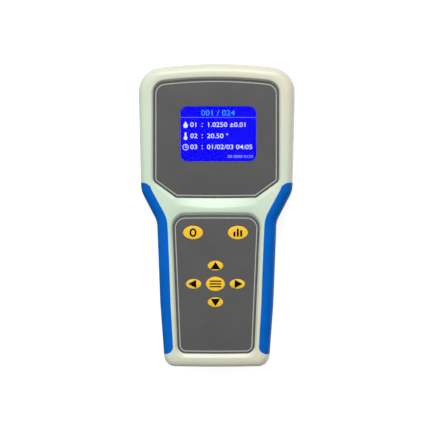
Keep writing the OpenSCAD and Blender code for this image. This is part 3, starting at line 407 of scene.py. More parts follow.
def inside_faces(points, faces, fences, loops):
    """Whether each triangle lies inside an odd number of loops, counted from the largest triangle."""
    owners = {}
    for k, face in enumerate(faces):
        for i in range(3):
            owners.setdefault(frozenset((face[i], face[(i + 1) % 3])), []).append(k)
    first = max(range(len(faces)), key=lambda k: abs(area(points, faces[k])))
    centre = points[list(faces[first])].mean(axis=0)
    odd = {first: sum(inside(np.array(loop), centre) for loop in loops) % 2 == 1}
    waiting = [first]
    while waiting:
        k = waiting.pop()
        for i in range(3):
            edge = frozenset((faces[k][i], faces[k][(i + 1) % 3]))
            for other in owners[edge]:
                if other not in odd:
                    odd[other] = odd[k] ^ (fences[edge] % 2 == 1)
                    waiting.append(other)
    return [odd[k] for k in range(len(faces))]


class Shape:
    """Vertices and faces of one mesh, in millimetres."""

    def __init__(self):
        self.points = []
        self.faces = []

    def ring(self, plan, z):
        """Adds a closed ring at one height, or at one height per point, and returns its indices."""
        start = len(self.points)
        heights = np.broadcast_to(z, (len(plan),))
        self.points += [(p[0], p[1], h) for p, h in zip(plan, heights)]
        return list(range(start, len(self.points)))

    def bridge(self, a, b, closed=True):
        """Quads between two rows of the same length."""
        count = len(a)
        for i in range(count if closed else count - 1):
            j = (i + 1) % count
            self.faces.append((a[i], a[j], b[j], b[i]))

    def skin(self, rows):
        """Quads all round between closed rows, from each row to the next."""
        for a, b in zip(rows, rows[1:]):
            self.bridge(a, b)

    def sheet(self, rows):
        """Adds open rows of points with quads between them, and returns the rows' indices."""
        grid = []
        for row in rows:
            start = len(self.points)
            self.points += row
            grid.append(list(range(start, start + len(row))))
        for a, b in zip(grid, grid[1:]):
            self.bridge(a, b, closed=False)
        return grid

    def fill(self, rings):
        """Closes the area between existing rings at one height: the first is outside, the rest are holes."""
        order = [i for ring in rings for i in ring]
        loops = [[self.points[i][:2] for i in ring] for ring in rings]
        _, origin, faces = triangulate(loops)
        self.faces += [tuple(order[origin[i][0]] for i in face) for face in faces]

    def fan(self, ring, point):
        """Closes a ring with triangles to one point."""
        self.points.append(tuple(point))
        tip = len(self.points) - 1
        self.faces += [(ring[i], ring[(i + 1) % len(ring)], tip) for i in range(len(ring))]

    def piece(self, name, look, body=FIXED, sharp=SHARP_DEG, replaces=()):
        """Makes the mesh an object that rides on a body."""
        mesh = bpy.data.meshes.new(name)
        mesh.from_pydata([tuple(c * MM for c in p) for p in self.points], [], self.faces)
        return place_mesh(mesh, name, look, body, sharp, replaces)


def put(name, data):
    """A new object in the scene."""
    obj = bpy.data.objects.new(name, data)
    bpy.context.scene.collection.objects.link(obj)
    return obj


def place_mesh(mesh, name, look, body=FIXED, sharp=SHARP_DEG, replaces=(), even=False):
    """Welds and shades a mesh, and makes it an object that rides on a body."""
    tidy = bmesh.new()
    tidy.from_mesh(mesh)
    bmesh.ops.remove_doubles(tidy, verts=tidy.verts, dist=WELD_M)
    if even:
        bmesh.ops.beautify_fill(tidy, faces=tidy.faces, edges=tidy.edges)
    bmesh.ops.recalc_face_normals(tidy, faces=tidy.faces)
    tidy.to_mesh(mesh)
    tidy.free()
    mesh.polygons.foreach_set("use_smooth", [True] * len(mesh.polygons))
    mesh.set_sharp_from_angle(angle=math.radians(sharp))
    mesh.materials.clear()
    mesh.materials.append(MATERIALS[look])
    obj = put(name, mesh)
    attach(obj, body)
    if replaces:
        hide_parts(*replaces)
    return obj


def patch(name, loops, z_low, z_high, look, body=FIXED, extra=(), height=None, replaces=()):
    """A thin closed plate over the area inside the loops, flat or lying on a height function."""
    shape = Shape()
    plan, _, faces = triangulate(loops, extra)
    used = sorted({i for face in faces for i in face})
    place = {old: new for new, old in enumerate(used)}
    plan, faces = plan[used], [tuple(place[i] for i in face) for face in faces]
    lift = height(plan) if height else np.zeros(len(plan))
    top = shape.ring(plan, z_high + lift)
    low = shape.ring(plan, z_low + lift)
    edges = {}
    for face in faces:
        shape.faces.append(tuple(top[i] for i in face))
        shape.faces.append(tuple(low[i] for i in reversed(face)))
        edges.update(((face[k], face[(k + 1) % 3]), True) for k in range(3))
    for a, b in edges:
        if (b, a) not in edges:
            shape.faces.append((top[b], top[a], low[a], low[b]))
    return shape.piece(name, look, body, replaces=replaces)


# Materials: each is a node tree with its own grain, mottle and gloss

class Tree:
    """A node tree that grows node by node."""

    def __init__(self, node_tree):
        self.nodes, self.links = node_tree.nodes, node_tree.links

    def feed(self, node, inputs):
        """Sets inputs by name or place, each to a plain value or by a link from a socket."""
        for key, value in inputs.items():
            if isinstance(value, bpy.types.NodeSocket):
                self.links.new(value, node.inputs[key])
            else:
                node.inputs[key].default_value = value

    def add(self, kind, inputs=None, **settings):
        """A new node with its settings and inputs."""
        node = self.nodes.new(kind)
        for name, value in settings.items():
            setattr(node, name, value)
        self.feed(node, inputs or {})
        return node

    def spread(self, source, low, high, start=0.35, end=0.65):
        """The source stretched from its usual range to low and high."""
        inputs = {"From Min": start, "From Max": end, "To Min": low, "To Max": high, "Value": source}
        return self.add("ShaderNodeMapRange", inputs).outputs["Result"]

    def blend(self, factor, a, b):
        """A colour between a and b, each a colour or a socket."""
        node = self.add("ShaderNodeMix", {"Factor": factor, "A": a, "B": b}, data_type="RGBA")
        return node.outputs["Result"]

    def math(self, operation, a, b):
        """One step of arithmetic on sockets or numbers."""
        return self.add("ShaderNodeMath", {0: a, 1: b}, operation=operation).outputs[0]

    def either(self, factor, a, b):
        """The shader of node a where the factor is 0, that of node b where it is 1."""
        return self.add("ShaderNodeMixShader", {0: factor, 1: a.outputs[0], 2: b.outputs[0]}).outputs[0]


class Paint(Tree):
    """A material's tree, with its shader and the places on the object."""

    def __init__(self, name):
        self.material = bpy.data.materials.new(name)
        self.material.use_nodes = True
        super().__init__(self.material.node_tree)
        self.shader = self.nodes["Principled BSDF"]
        self.places = self.add("ShaderNodeTexCoord").outputs["Object"]

    def noise(self, size_mm, detail=2.0):
        """Noise whose features are about the given size."""
        inputs = {"Scale": PER_METRE / size_mm, "Detail": detail, "Vector": self.places}
        return self.add("ShaderNodeTexNoise", inputs).outputs["Fac"]

    def mottled(self, size_mm, detail, a, b):
        """A colour that wanders between a and b in clouds of the given size."""
        return self.blend(self.spread(self.noise(size_mm, detail), 0.0, 1.0), a, b)

    def shade(self, inputs):
        """Sets inputs of the shader, and returns the material."""
        self.feed(self.shader, inputs)
        return self.material


def srgb(r, g, b):
    """Linear colour of sRGB values from 0 to 255."""
    parts = [c / 255 for c in (r, g, b)]
    return tuple(c / 12.92 if c <= 0.04045 else ((c + 0.055) / 1.055) ** 2.4 for c in parts) + (1.0,)


CLOUD_DETAIL = 4.0
GRAIN_DETAIL = 3.0
BUMP_STRENGTH = 0.5
LOOKS = {"specular": "Specular IOR Level", "metallic": "Metallic", "coat": "Coat Weight"}


def surface(name, colour, mottle, mottle_mm, rough, grain_mm, grain_depth, **looks):
    """Mottled colour, uneven gloss and a fine grain, for moulded, printed and metal surfaces."""
    paint = Paint(name)
    clouds = paint.mottled(mottle_mm, CLOUD_DETAIL, srgb(*colour), srgb(*mottle))
    grain = paint.noise(grain_mm, GRAIN_DETAIL)
    depth = {"Strength": BUMP_STRENGTH, "Distance": grain_depth * MM, "Height": grain}
    bump = paint.add("ShaderNodeBump", depth).outputs["Normal"]
    paint.shade({"Base Color": clouds, "Roughness": paint.spread(grain, *rough), "Normal": bump})
    paint.shade({LOOKS[look]: value for look, value in looks.items()})
    return paint


# Painted tint of coloured light on the shell: mint about the bridge, warmer and creamier towards the ends
# and the right side
BRIDGE_Y = 5.0
CREAM_REACH = 85.0
PAINTED_TINT_ENDS = 0.85
CREAM_HALF = 45.0
PAINTED_TINT_SIDES = (-0.18, 0.3)
WORN = 0.35
WORN_EDGES = (0.52, 0.62)


def shell_material():
    """Pale moulded plastic with a fine grain, with a painted tint of coloured light (mint about the bridge
    where a cool highlight falls, creamier towards its ends and its right side where the light is warmer),
    and paler at its worn edges.
    """
    paint = surface("shell_plastic", (200, 220, 202), (196, 216, 198), 30, (0.36, 0.48), 0.35, 0.03,
                    specular=0.46)
    axes = paint.add("ShaderNodeSeparateXYZ", {0: paint.places})
    # Painted light: the base colour shifts from mint to cream with the distance from the bridge and towards
    # the right, standing in for coloured light
    from_bridge = paint.math("ABSOLUTE", paint.math("SUBTRACT", axes.outputs["Y"], BRIDGE_Y * MM), 0.0)
    painted_tint_ends = paint.spread(from_bridge, 0.0, PAINTED_TINT_ENDS, 0.0, CREAM_REACH * MM)
    painted_tint_right = paint.spread(axes.outputs["X"], *PAINTED_TINT_SIDES, -CREAM_HALF * MM, CREAM_HALF * MM)
    mint = paint.shader.inputs["Base Color"].links[0].from_socket
    base = paint.blend(paint.math("ADD", painted_tint_ends, painted_tint_right), mint, srgb(214, 212, 194))
    edges = paint.add("ShaderNodeNewGeometry").outputs["Pointiness"]
    worn = paint.spread(edges, 0.0, WORN, *WORN_EDGES)
    return paint.shade({"Base Color": paint.blend(worn, base, srgb(228, 232, 220))})


PIXEL_MM = 0.4
PIXEL_GAP = 0.01


def screen_material():
    """Lit blue screen with a faint pixel grid."""
    paint = Paint("screen_blue")
    cells = paint.add("ShaderNodeTexBrick", {
        "Vector": paint.places, "Scale": PER_METRE / PIXEL_MM, "Mortar Size": PIXEL_GAP,
        "Brick Width": PIXEL_MM, "Row Height": PIXEL_MM,
        "Color1": srgb(6, 0, 250), "Color2": srgb(3, 0, 246), "Mortar": srgb(2, 0, 222),
    }, offset=0.0)
    return paint.shade({"Emission Color": cells.outputs["Color"], "Emission Strength": 1.0, "Roughness": 0.5,
                        "Base Color": srgb(2, 0, 40), "Specular IOR Level": 0.02})


LIT_CLOUD_MM = 6
SMEAR_MM = 9


def lit_material(name, colour, dimmer):
    """Lit screen marks, with a slight unevenness."""
    paint = Paint(name)
    clouds = paint.mottled(LIT_CLOUD_MM, 2.0, srgb(*colour), srgb(*dimmer))
    return paint.shade({"Emission Color": clouds, "Emission Strength": 1.0, "Base Color": srgb(20, 20, 60),
                        "Specular IOR Level": 0.1})


def window_material():
    """Clear coated window: it barely reflects, with a trace of smear in its gloss."""
    paint = Paint("window_clear")
    smear = paint.noise(SMEAR_MM, GRAIN_DETAIL)
    return paint.shade({"Roughness": paint.spread(smear, 0.0, 0.03), "Base Color": (0.97, 0.98, 1.0, 1.0),
                        "Transmission Weight": 1.0, "IOR": 1.1})


def plain(*args, **looks):
    """The material of a surface with nothing added to it."""
    return surface(*args, **looks).material


def make_materials():
    """One material for each slot of the record, and the prints."""
    return {
        "shell": shell_material(),
        "grip": plain("grip_rubber", (0, 100, 201), (0, 95, 193), 14, (0.55, 0.7), 0.3, 0.05, specular=0.05),
        "panel": plain("panel_film", (85, 85, 85), (81, 81, 82), 18, (0.45, 0.57), 0.18,
                       0.012, specular=0.16),
        "window": window_material(),
        "key": plain("key_film", (246, 196, 48), (242, 189, 42), 5, (0.3, 0.42), 0.2, 0.012, specular=0.3),
        "screen": screen_material(),
        "spacer": plain("spacer_film", (60, 60, 62), (52, 52, 54), 6, (0.5, 0.6), 0.2, 0.01),
        "film": plain("circuit_film", (196, 156, 80), (182, 142, 70), 5, (0.3, 0.45), 0.4, 0.01),
        "light": plain("light_guide", (236, 236, 230), (226, 228, 224), 8, (0.35, 0.5), 0.4, 0.01),
        "black": plain("black_plastic", (30, 31, 33), (24, 25, 27), 5, (0.4, 0.55), 0.25, 0.02),
        "board": plain("solder_mask", (22, 96, 52), (16, 84, 44), 7, (0.28, 0.42), 0.5, 0.015),
        "seal": plain("seal_rubber", (26, 26, 27), (20, 20, 21), 4, (0.55, 0.7), 0.3, 0.02),
        "steel": plain("plain_steel", (186, 190, 194), (172, 176, 181), 3, (0.22, 0.36), 0.12,
                       0.006, metallic=1.0),
        "gold": plain("gold_plate", (226, 182, 84), (214, 168, 72), 2, (0.16, 0.28), 0.1,
                      0.004, metallic=1.0),
        "lead": plain("lead_cover", (140, 52, 46), (124, 44, 40), 4, (0.4, 0.55), 0.4, 0.015),
        "cell": plain("cell_sleeve", (62, 108, 76), (54, 98, 68), 10, (0.28, 0.4), 0.5, 0.008, coat=0.2),
        "line": plain("line_print", (182, 182, 182), (172, 172, 173), 3, (0.42, 0.55), 0.18,
                      0.006, specular=0.2),
        "ink": plain("black_print", (10, 8, 5), (6, 5, 4), 2, (0.45, 0.6), 0.18, 0.006, specular=0.03),
        "lit": lit_material("screen_white", (238, 240, 255), (226, 228, 252)),
        "faint": lit_material("screen_faint", (165, 165, 255), (150, 152, 250)),
        "azure": lit_material("screen_azure", (50, 165, 255), (36, 148, 250)),
    }


MATERIALS = make_materials()
BODY, BODY_N = with_stations(*outline(body_corners()), grip_ends())
DISPLAY, DISPLAY_N = outline(display_corners())
KEYPAD, KEYPAD_N = outline(keypad_corners())


# Front shell

EDGE_IN = SIDE_DRAFT + EDGE_R
Z_EDGE = Z_CREST - EDGE_R
LIP_DROP = Z_CREST - Z_PANEL - LIP_FOOT


def edge_profile():
    """Depths, heights, slope angles and reaches onto the crest, from the parting line up."""
    end = np.clip(-BODY_N[:, 1], 0, 1) ** 2
    reach = EDGE_R + (END_EDGE_REACH - EDGE_R) * end
    depth = EDGE_R + (END_EDGE_DEPTH - EDGE_R) * end
    level, none = np.ones(len(BODY)), np.zeros(len(BODY))
    foot = Z_PART + SEAM
    profile = [(SEAM * level, Z_PART * level, none, none), (none, foot * level, none, none)]
    for k in range(1, SIDE_ROWS):
        share = k / SIDE_ROWS
        profile.append((SIDE_DRAFT * share * level, foot + (Z_CREST - depth - foot) * share, none, none))
    for run in edge_runs():
        a = np.minimum(run / EDGE_R, math.pi / 2)
        past = np.maximum(run - EDGE_R * math.pi / 2, 0)
        inwards = SIDE_DRAFT + reach * (1 - np.cos(a)) + past
        profile.append((inwards, Z_CREST - depth * (1 - np.sin(a)), a, past))
    return profile


def edge_runs():
    """Distances of the rows around the edge: up to just inside a grip's border, then from there on."""
    widths = np.array([grip_width(y) for y in BODY[:, 1]])
    ends = [grip_reach(width) for width in np.maximum(widths, GRIP_TIP_W)]
    border = np.array([EDGE_R * reach + flat for reach, flat in ends])
    last = EDGE_R * math.pi / 2 + np.maximum(widths - EDGE_IN, 0) + CREST_MARGIN
    under = [(border - POCKET_MARGIN - POCKET_STEP) * share for share in np.linspace(0, 1, UNDER_ROWS)]
    return under + [border + (last - border) * share for share in np.linspace(0, 1, CREST_ROWS)]


def grip_width(y):
    """Width of a grip seen from the front at a height along the body, or 0 past its ends."""
    ends = min(Y_GRIP_TIP - y, y - Y_GRIP_FOOT)
    if ends < 0:
        return 0.0
    if ends > GRIP_ROUND:
        half = (Y_GRIP_TIP - Y_GRIP_FOOT) / 2
        return GRIP_W + GRIP_SWELL * (1 - (1 - ends / half) ** 2)
    return GRIP_TIP_W + (GRIP_W - GRIP_TIP_W) * math.sin(math.acos(1 - ends / GRIP_ROUND))


def grip_reach(width):
    """Angle around the rounded edge at which a grip of that width ends, and its reach onto the crest."""
    flat = max(0.0, width - EDGE_IN)
    return math.acos(1 - (width - flat - SIDE_DRAFT) / EDGE_R), flat


def pocket(inwards):
    """Depth of a grip under the housing's surface, at a distance inside the grip's border."""
    return min(POCKET_EDGE + POCKET_SLOPE * inwards, GRIP_T)


def shell_push(y, z, angle, past):
    """How far the shell gives way under a grip, at a point of its outer edge or past that on the crest."""
    width = grip_width(y)
    if not width:
        return 0.0
    reach, flat = grip_reach(width)
    inwards = flat - past + EDGE_R * (reach - angle) + max(0.0, Z_EDGE - z)
    inwards = min(inwards, Y_GRIP_TIP - y, y - Y_GRIP_FOOT)
    return pocket(inwards) + POCKET_GAP if inwards > POCKET_MARGIN else 0.0


def lip_rings(shape, line, normals, widths, drops, z_floor):
    """Rings from the crest down a rounded lip, and the straight wall below it."""
    up, down = np.clip(normals[:, 1], 0, 1), np.clip(-normals[:, 1], 0, 1)
    power = LIP_POWER + (TOP_LIP_POWER - LIP_POWER) * up + (FOOT_LIP_POWER - LIP_POWER) * down
    rows = [shape.ring(line + normals * (widths * t)[:, None], Z_CREST - drops * (1 - t) ** power)
            for t in 1 - np.linspace(0, 1, LIP_ROWS) ** LIP_BUNCH]
    rows += [shape.ring(line, z) for z in (Z_PANEL, z_floor)]
    shape.skin(rows)
    return rows[0], rows[-1]


def softened(points, normals, reach):
    """Normals averaged along an outline, so that a lip turns its corners gradually."""
    steps = np.linalg.norm(np.roll(points, -1, axis=0) - points, axis=1)
    place = np.cumsum(steps) - steps
    gap = np.abs(place[:, None] - place[None, :])
    gap = np.minimum(gap, steps.sum() - gap)
    weight = np.clip(1 - gap / reach, 0, None) * (steps + np.roll(steps, 1))[None, :]
    mean = weight @ normals
    return mean / np.linalg.norm(mean, axis=1, keepdims=True)


def display_lips():
    share = np.clip(-DISPLAY_N[:, 1], 0, 1) ** 3
    share = share * np.clip(1 - BRIDGE_LIP_FADE * (DISPLAY[:, 0] / FOOT_HALF) ** 2, 0, 1)
    return LIP_W + (BRIDGE_LIP_W - LIP_W) * share + (TOP_LIP_W - LIP_W) * np.clip(DISPLAY_N[:, 1], 0, 1)


def keypad_lips():
    up, down = np.clip(KEYPAD_N[:, 1], 0, 1), np.clip(-KEYPAD_N[:, 1], 0, 1)
    side = KEYPAD_SIDE_LIP_W
    return side + (KEYPAD_LIP_W - side) * up + (END_LIP_W - side) * down


def display_drops(normals):
    """How far the display's lips fall: less towards the ends of the bridge, where a wall takes the rest."""
    aside = np.clip((DISPLAY[:, 0] / FOOT_HALF) ** 2, 0, 1)
    return LIP_DROP * (1 - BRIDGE_DROP_FADE * aside * np.clip(-normals[:, 1], 0, 1))


def keypad_drops():
    return LIP_DROP * (1 - END_DROP_FADE * np.clip(-KEYPAD_N[:, 1], 0, 1) ** 2)


def front_shell():
    shape = Shape()
    rows = []
    for depth, z, angle, past in edge_profile():
        push = np.array([shell_push(*place) for place in zip(BODY[:, 1], z, angle, past)])
        inwards = depth + push * np.cos(angle)
        rows.append(shape.ring(BODY - BODY_N * inwards[:, None], z - push * np.sin(angle)))
    shape.skin(rows)
    turned = softened(DISPLAY, DISPLAY_N, LIP_TURN)
    display_crest, display_floor = lip_rings(
        shape, DISPLAY, turned, display_lips(), display_drops(turned), Z_PANEL_FLOOR)
    keypad_crest, keypad_floor = lip_rings(
        shape, KEYPAD, KEYPAD_N, keypad_lips(), keypad_drops(), Z_KEYPAD_FLOOR)
    shape.fill([rows[-1], display_crest, keypad_crest])
    opening = rounded_rect(WINDOW_CENTRE, WINDOW_SIZE - 2 * WINDOW_LEDGE, WINDOW_R - WINDOW_LEDGE)
    opening_top = shape.ring(opening, Z_PANEL_FLOOR)
    opening_low = shape.ring(opening, Z_CEILING)
    shape.bridge(opening_top, opening_low)
    shape.fill([display_floor, opening_top])
    shape.fill([keypad_floor])
    walls = np.where(BODY[:, 1] < Y_GRIP_TIP + GRIP_ROUND, GRIP_T + WALL, WALL)
    inner = BODY - BODY_N * walls[:, None]
    inner_top = shape.ring(inner, Z_CEILING)
    inner_low = shape.ring(inner, Z_PART)
    shape.fill([inner_top, opening_low])
    shape.bridge(inner_top, inner_low)
    shape.bridge(inner_low, rows[0])
    return shape.piece("front_shell", "shell", replaces=["front_housing"])


# Grips

GRIP_FACING = 0.2
GRIP_ROLL_STEPS = (0, 0.06, 0.16, 0.32, 0.55, 0.9, 1.4, 2.0, 2.7, 3.4, GRIP_ROUND)
GRIP_BORDER_STEPS = (0, 0.05, 0.12, 0.22, 0.36, 0.55)
GRIP_SIDE_START = 0.8


def grip_stations():
    """Heights along a grip, close together where its ends roll over."""
    ends = np.array(GRIP_ROLL_STEPS)
    middle = np.linspace(Y_GRIP_FOOT + GRIP_ROUND, Y_GRIP_TIP - GRIP_ROUND, GRIP_ROWS)[1:-1]
    return np.concatenate((Y_GRIP_FOOT + ends, middle, Y_GRIP_TIP - ends[::-1]))


def grip_half(width, mirrored_z):
    """Depth, height, slope angle and distance from the border, from a grip's border to the parting line."""
    reach, flat = grip_reach(width)
    edge_end = flat + EDGE_R * reach
    side = Z_EDGE - Z_PART
    rows = []
    sides = np.linspace(GRIP_SIDE_START, edge_end + side, GRIP_SIDE_ROWS)
    for s in np.concatenate((GRIP_BORDER_STEPS, sides)):
        a = max(0.0, min(reach, reach - (s - flat) / EDGE_R))
        down = max(0.0, s - edge_end)
        z = Z_EDGE + EDGE_R * math.sin(a) - down
        depth = SIDE_DRAFT * (1 - down / side) + EDGE_R * (1 - math.cos(a)) + max(0.0, flat - s)
        rows.append((depth, 2 * Z_PART - z, -a, s) if mirrored_z else (depth, z, a, s))
    return rows


def grip_section(width):
    """Rows around the side from a grip's front border to its rear border."""
    return grip_half(width, False) + grip_half(min(width, GRIP_REAR_W), True)[-2::-1]


def grip(name, node, side):
    """One grip: its outer face, and its inner face in the shell's pocket, joined along their borders."""
    keep = (BODY_N[:, 0] > GRIP_FACING) & (BODY[:, 0] > 0)
    order = np.argsort(BODY[keep][:, 1])
    points, normals = BODY[keep][order], BODY_N[keep][order]
    heights = points[:, 1]
    shape = Shape()
    outer, inner = [], []
    for y in grip_stations():
        at = np.array([np.interp(y, heights, points[:, 0]), y])
        n = unit(np.array([np.interp(y, heights, normals[:, k]) for k in (0, 1)]))
        ends = min(Y_GRIP_TIP - y, y - Y_GRIP_FOOT)
        rows = [], []
        for depth, z, a, s in grip_section(max(grip_width(y), GRIP_TIP_W)):
            border = min(s, max(ends, 0.0))
            roll = 1 - min(border / GRIP_ROLL, 1.0)
            sink = -GRIP_SINK * (1 - math.sqrt(1 - roll * roll))
            for row, offset in zip(rows, (sink, -pocket(border))):
                plan = at - n * (depth - offset * math.cos(a))
                row.append((side * plan[0], plan[1], z + offset * math.sin(a)))
        outer.append(rows[0])
        inner.append(rows[1])
    top, low = shape.sheet(outer), shape.sheet(inner)
    for k in (0, -1):
        shape.bridge([row[k] for row in top], [row[k] for row in low], closed=False)
    for k in (0, -1):
        shape.bridge(top[k], low[k], closed=False)
    return shape.piece(name, "grip", sharp=GRIP_SHARP_DEG, replaces=[node])


# Panels and their prints

def rolled(roll):
    """Insets and drops around a quarter roll, from its foot to its crown."""
    turns = [math.pi / 2 * k / ROLL_STEPS for k in range(ROLL_STEPS + 1)]
    return [(roll * (1 - math.cos(a)), roll * (1 - math.sin(a))) for a in turns]


def plate(name, outer, holes, z_low, z_high, roll, node):
    """A plate with a rolled top edge all round and straight edged holes."""
    shape = Shape()
    line, normals = outer
    rows = [shape.ring(line, z_low)]
    rows += [shape.ring(line - normals * inset, z_high - drop) for inset, drop in rolled(roll)]
    shape.skin(rows)
    tops, lows = [rows[-1]], [rows[0]]
    for hole in holes:
        top, low = shape.ring(hole, z_high), shape.ring(hole, z_low)
        shape.bridge(top, low)
        tops.append(top)
        lows.append(low)
    shape.fill(tops)
    shape.fill(lows)
    return shape.piece(name, "panel", replaces=[node])


def border_line(name, corners):
    """A thin printed line that follows a panel's edge."""
    loops = [outline(corners, inset)[0] for inset in (LINE_INSET, LINE_INSET + LINE_W)]
    return patch(name, loops, Z_PANEL - PRINT_T, Z_PANEL + PRINT_T, "line")


# Keys and their symbols

CROWN_RINGS = (0.93, 0.85, 0.75, 0.62, 0.48, 0.34, 0.2, 0.08)
PRINT_STEP = 0.5
PRINT_SIDE_STEP = 0.45


class Key:
    """One oval key: its body's frame box gives its place and size."""

    def __init__(self, name):
        self.name = name
        low, high = box_mm(name)
        self.centre = ((low + high) / 2)[:2]
        self.half = (high - low)[:2] / 2 - KEY_FLANGE_W
        self.z_low, self.z_top = low[2], high[2]
        self.z_rim = self.z_top - KEY_CROWN

    def height(self, plan):
        """Height of the crown over the rim at points in plan."""
        rho = np.linalg.norm((plan - self.centre) / (self.half - KEY_ROLL), axis=1)
        return (self.z_top - self.z_rim) * np.clip(1 - rho ** 2, 0, 1)

    def pad(self):
        shape = Shape()
        flange_top = Z_FILM - KEY_FLANGE_GAP
        profile = [(-KEY_FLANGE_W, self.z_low), (-KEY_FLANGE_W, flange_top), (0.0, flange_top)]
        profile += [(inset, self.z_rim - drop) for inset, drop in rolled(KEY_ROLL)]
        rows = [shape.ring(ellipse(self.centre, *(self.half - inset)), z) for inset, z in profile]
        for rho in CROWN_RINGS:
            plan = ellipse(self.centre, *(rho * (self.half - KEY_ROLL)))
            rows.append(shape.ring(plan, self.z_rim + self.height(plan)))
        shape.skin(rows)
        shape.fan(rows[-1], (*self.centre, self.z_top))
        shape.fan(rows[0], (*self.centre, self.z_low))
        return shape.piece(f"{self.name}_pad", "key", self.name, replaces=[self.name])

    def symbol(self, loops):
        """A black print that lies on the crown. Loops are given about the key's centre."""
        placed = [self.centre + np.array(loop) for loop in loops]
        low, high = np.min(np.vstack(placed), axis=0), np.max(np.vstack(placed), axis=0)
        across, along = (np.arange(low[k] + PRINT_STEP / 2, high[k], PRINT_STEP) for k in (0, 1))
        grid = [(x, y) for x in across for y in along]
        return patch(f"{self.name}_symbol", placed, self.z_rim - PRINT_T, self.z_rim + PRINT_T,
                     "ink", self.name, grid, self.height)


def fine(loop):
    """A loop with points added along its sides, so that it can lie on a crown."""
    points = []
    loop = np.array(loop, float)
    for a, b in zip(loop, np.roll(loop, -1, axis=0)):
        pieces = max(1, math.ceil(np.linalg.norm(b - a) / PRINT_SIDE_STEP))
        points += [tuple(a + (b - a) * k / pieces) for k in range(pieces)]
    return points


def bar(x, y, w, h):
    right, top = w / 2, h / 2
    return fine([(x - right, y + top), (x + right, y + top), (x + right, y - top), (x - right, y - top)])


def triangle(turn, width, height, shift):
    """A triangle that points up, moved a little towards its tip and turned clockwise by quarters."""
    corners = [(0, height / 2 + shift), (width / 2, -height / 2 + shift), (-width / 2, -height / 2 + shift)]
    for _ in range(turn):
        corners = [(y, -x) for x, y in corners]
    return fine(corners)


RING_STEPS = 48
RING_OUTER, RING_INNER = (2.3, 2.85), (1.15, 1.7)
LINES_W, LINES_H, LINES_PITCH = 7.6, 0.85, 1.8
BARS_W, BARS_PITCH, BARS_H = 1.35, 2.2, (3.2, 5.2, 4.2)
WIDE_ARROW, TALL_ARROW = (6.5, 4.9), (5.5, 5.3)
UP_SHIFT, DOWN_SHIFT, SIDE_SHIFT = 0.1, 0.2, 0.9


def key_symbols():
    """The loops of each key's symbol, about the key's centre."""
    tallest = max(BARS_H)
    return {
        "zero_key": [ellipse((0, 0), *half, RING_STEPS) for half in (RING_OUTER, RING_INNER)],
        "mode_key": [bar(k * BARS_PITCH, (h - tallest) / 2, BARS_W, h) for k, h in enumerate(BARS_H, -1)],
        "menu_key": [bar(0, k * LINES_PITCH, LINES_W, LINES_H) for k in (1, 0, -1)],
        "up_key": [triangle(0, *WIDE_ARROW, UP_SHIFT)],
        "right_key": [triangle(1, *TALL_ARROW, SIDE_SHIFT)],
        "down_key": [triangle(2, *WIDE_ARROW, DOWN_SHIFT)],
        "left_key": [triangle(3, *TALL_ARROW, SIDE_SHIFT)],
    }


def keypad():
    symbols = key_symbols()
    keys = [Key(name) for name in symbols]
    holes = [ellipse(k.centre, *(k.half + KEY_GAP)) for k in keys]
    plate("keypad_film", outline(keypad_corners(), PANEL_GAP), holes, Z_FILM, Z_PANEL, FILM_ROLL,
          "keypad_overlay")
    border_line("keypad_line", keypad_corners())
    for key in keys:
        key.pad()
        key.symbol(symbols[key.name])


# Display

TEXT_WIDEN = 1.145
TEXT_BOLD = 0.004
TEXT_CURVE_STEPS = 5
ARC_STEPS = 30
ICON_STEPS = 40
ROW_UP, ROW_SIZE = (5.9, -1.5, -8.75), 4.35
ICON_X, NUMBER_X, COLON_X, VALUE_X = -21.6, -18.6, -10.6, -7.6
DROP_R, BULB_R, CLOCK_R = 1.5, 1.25, 1.6
COLON_W, COLON_UP = 0.55, (0.8, -1.0)
RULE_UP, RULE_W = 10.8, 0.2
TITLE_X, TITLE_UP, TITLE_SIZE = -0.2, 13.6, 5.1
COUNT_IN, COUNT_UP, COUNT_SIZE = 2.0, -15.0, 2.65


def text_piece(name, words, x, y, size, look, align="LEFT"):
    """Lit figures on the screen, as a flat mesh, wider than the font's own."""
    curve = bpy.data.curves.new(name, "FONT")
    curve.body = words
    curve.size = size * MM
    curve.align_x = align
    curve.align_y = "CENTER"
    curve.extrude = PRINT_T / 2 * MM
    curve.offset = TEXT_BOLD * size * MM
    curve.resolution_u = TEXT_CURVE_STEPS
    maker = put(f"{name}_maker", curve)
    bpy.context.view_layer.update()
    mesh = bpy.data.meshes.new_from_object(maker.evaluated_get(bpy.context.evaluated_depsgraph_get()))
    bpy.data.objects.remove(maker)
    mesh.name = name
    place = Vector((x, y, Z_SCREEN + PRINT_T / 2)) * MM
    mesh.transform(Matrix.Translation(place) @ Matrix.Diagonal((TEXT_WIDEN, 1, 1, 1)))
    return place_mesh(mesh, name, look, even=True)


def mark(name, loops, look):
    """A lit mark on the screen."""
    return patch(name, loops, Z_SCREEN, Z_SCREEN + PRINT_T, look)


def drop_icon(x, y, r):
    """A falling drop: a round foot under two straight sides."""
    a = np.radians(np.linspace(35, -215, ARC_STEPS))
    foot = [(x + r * math.cos(t), y - 0.35 * r + r * math.sin(t)) for t in a]
    return [[(x, y + 1.6 * r), *foot]]


def thermometer_icon(x, y, r):
    """A round bulb under a stem."""
    a = np.radians(np.linspace(60, -240, ARC_STEPS))
    bulb = [(x + r * math.cos(t), y - r + r * math.sin(t)) for t in a]
    return [[(x - r / 2, y + 1.9 * r), (x + r / 2, y + 1.9 * r), *bulb]]


def clock_icon(x, y, r):
    """A ring with two hands."""
    hands = [(x - 0.16 * r, y + 0.7 * r), (x + 0.12 * r, y + 0.7 * r), (x + 0.12 * r, y + 0.12 * r),
             (x + 0.6 * r, y + 0.12 * r), (x + 0.6 * r, y - 0.16 * r), (x - 0.16 * r, y - 0.16 * r)]
    return [*(ellipse((x, y), size * r, size * r, ICON_STEPS) for size in (1.25, 1)), hands]


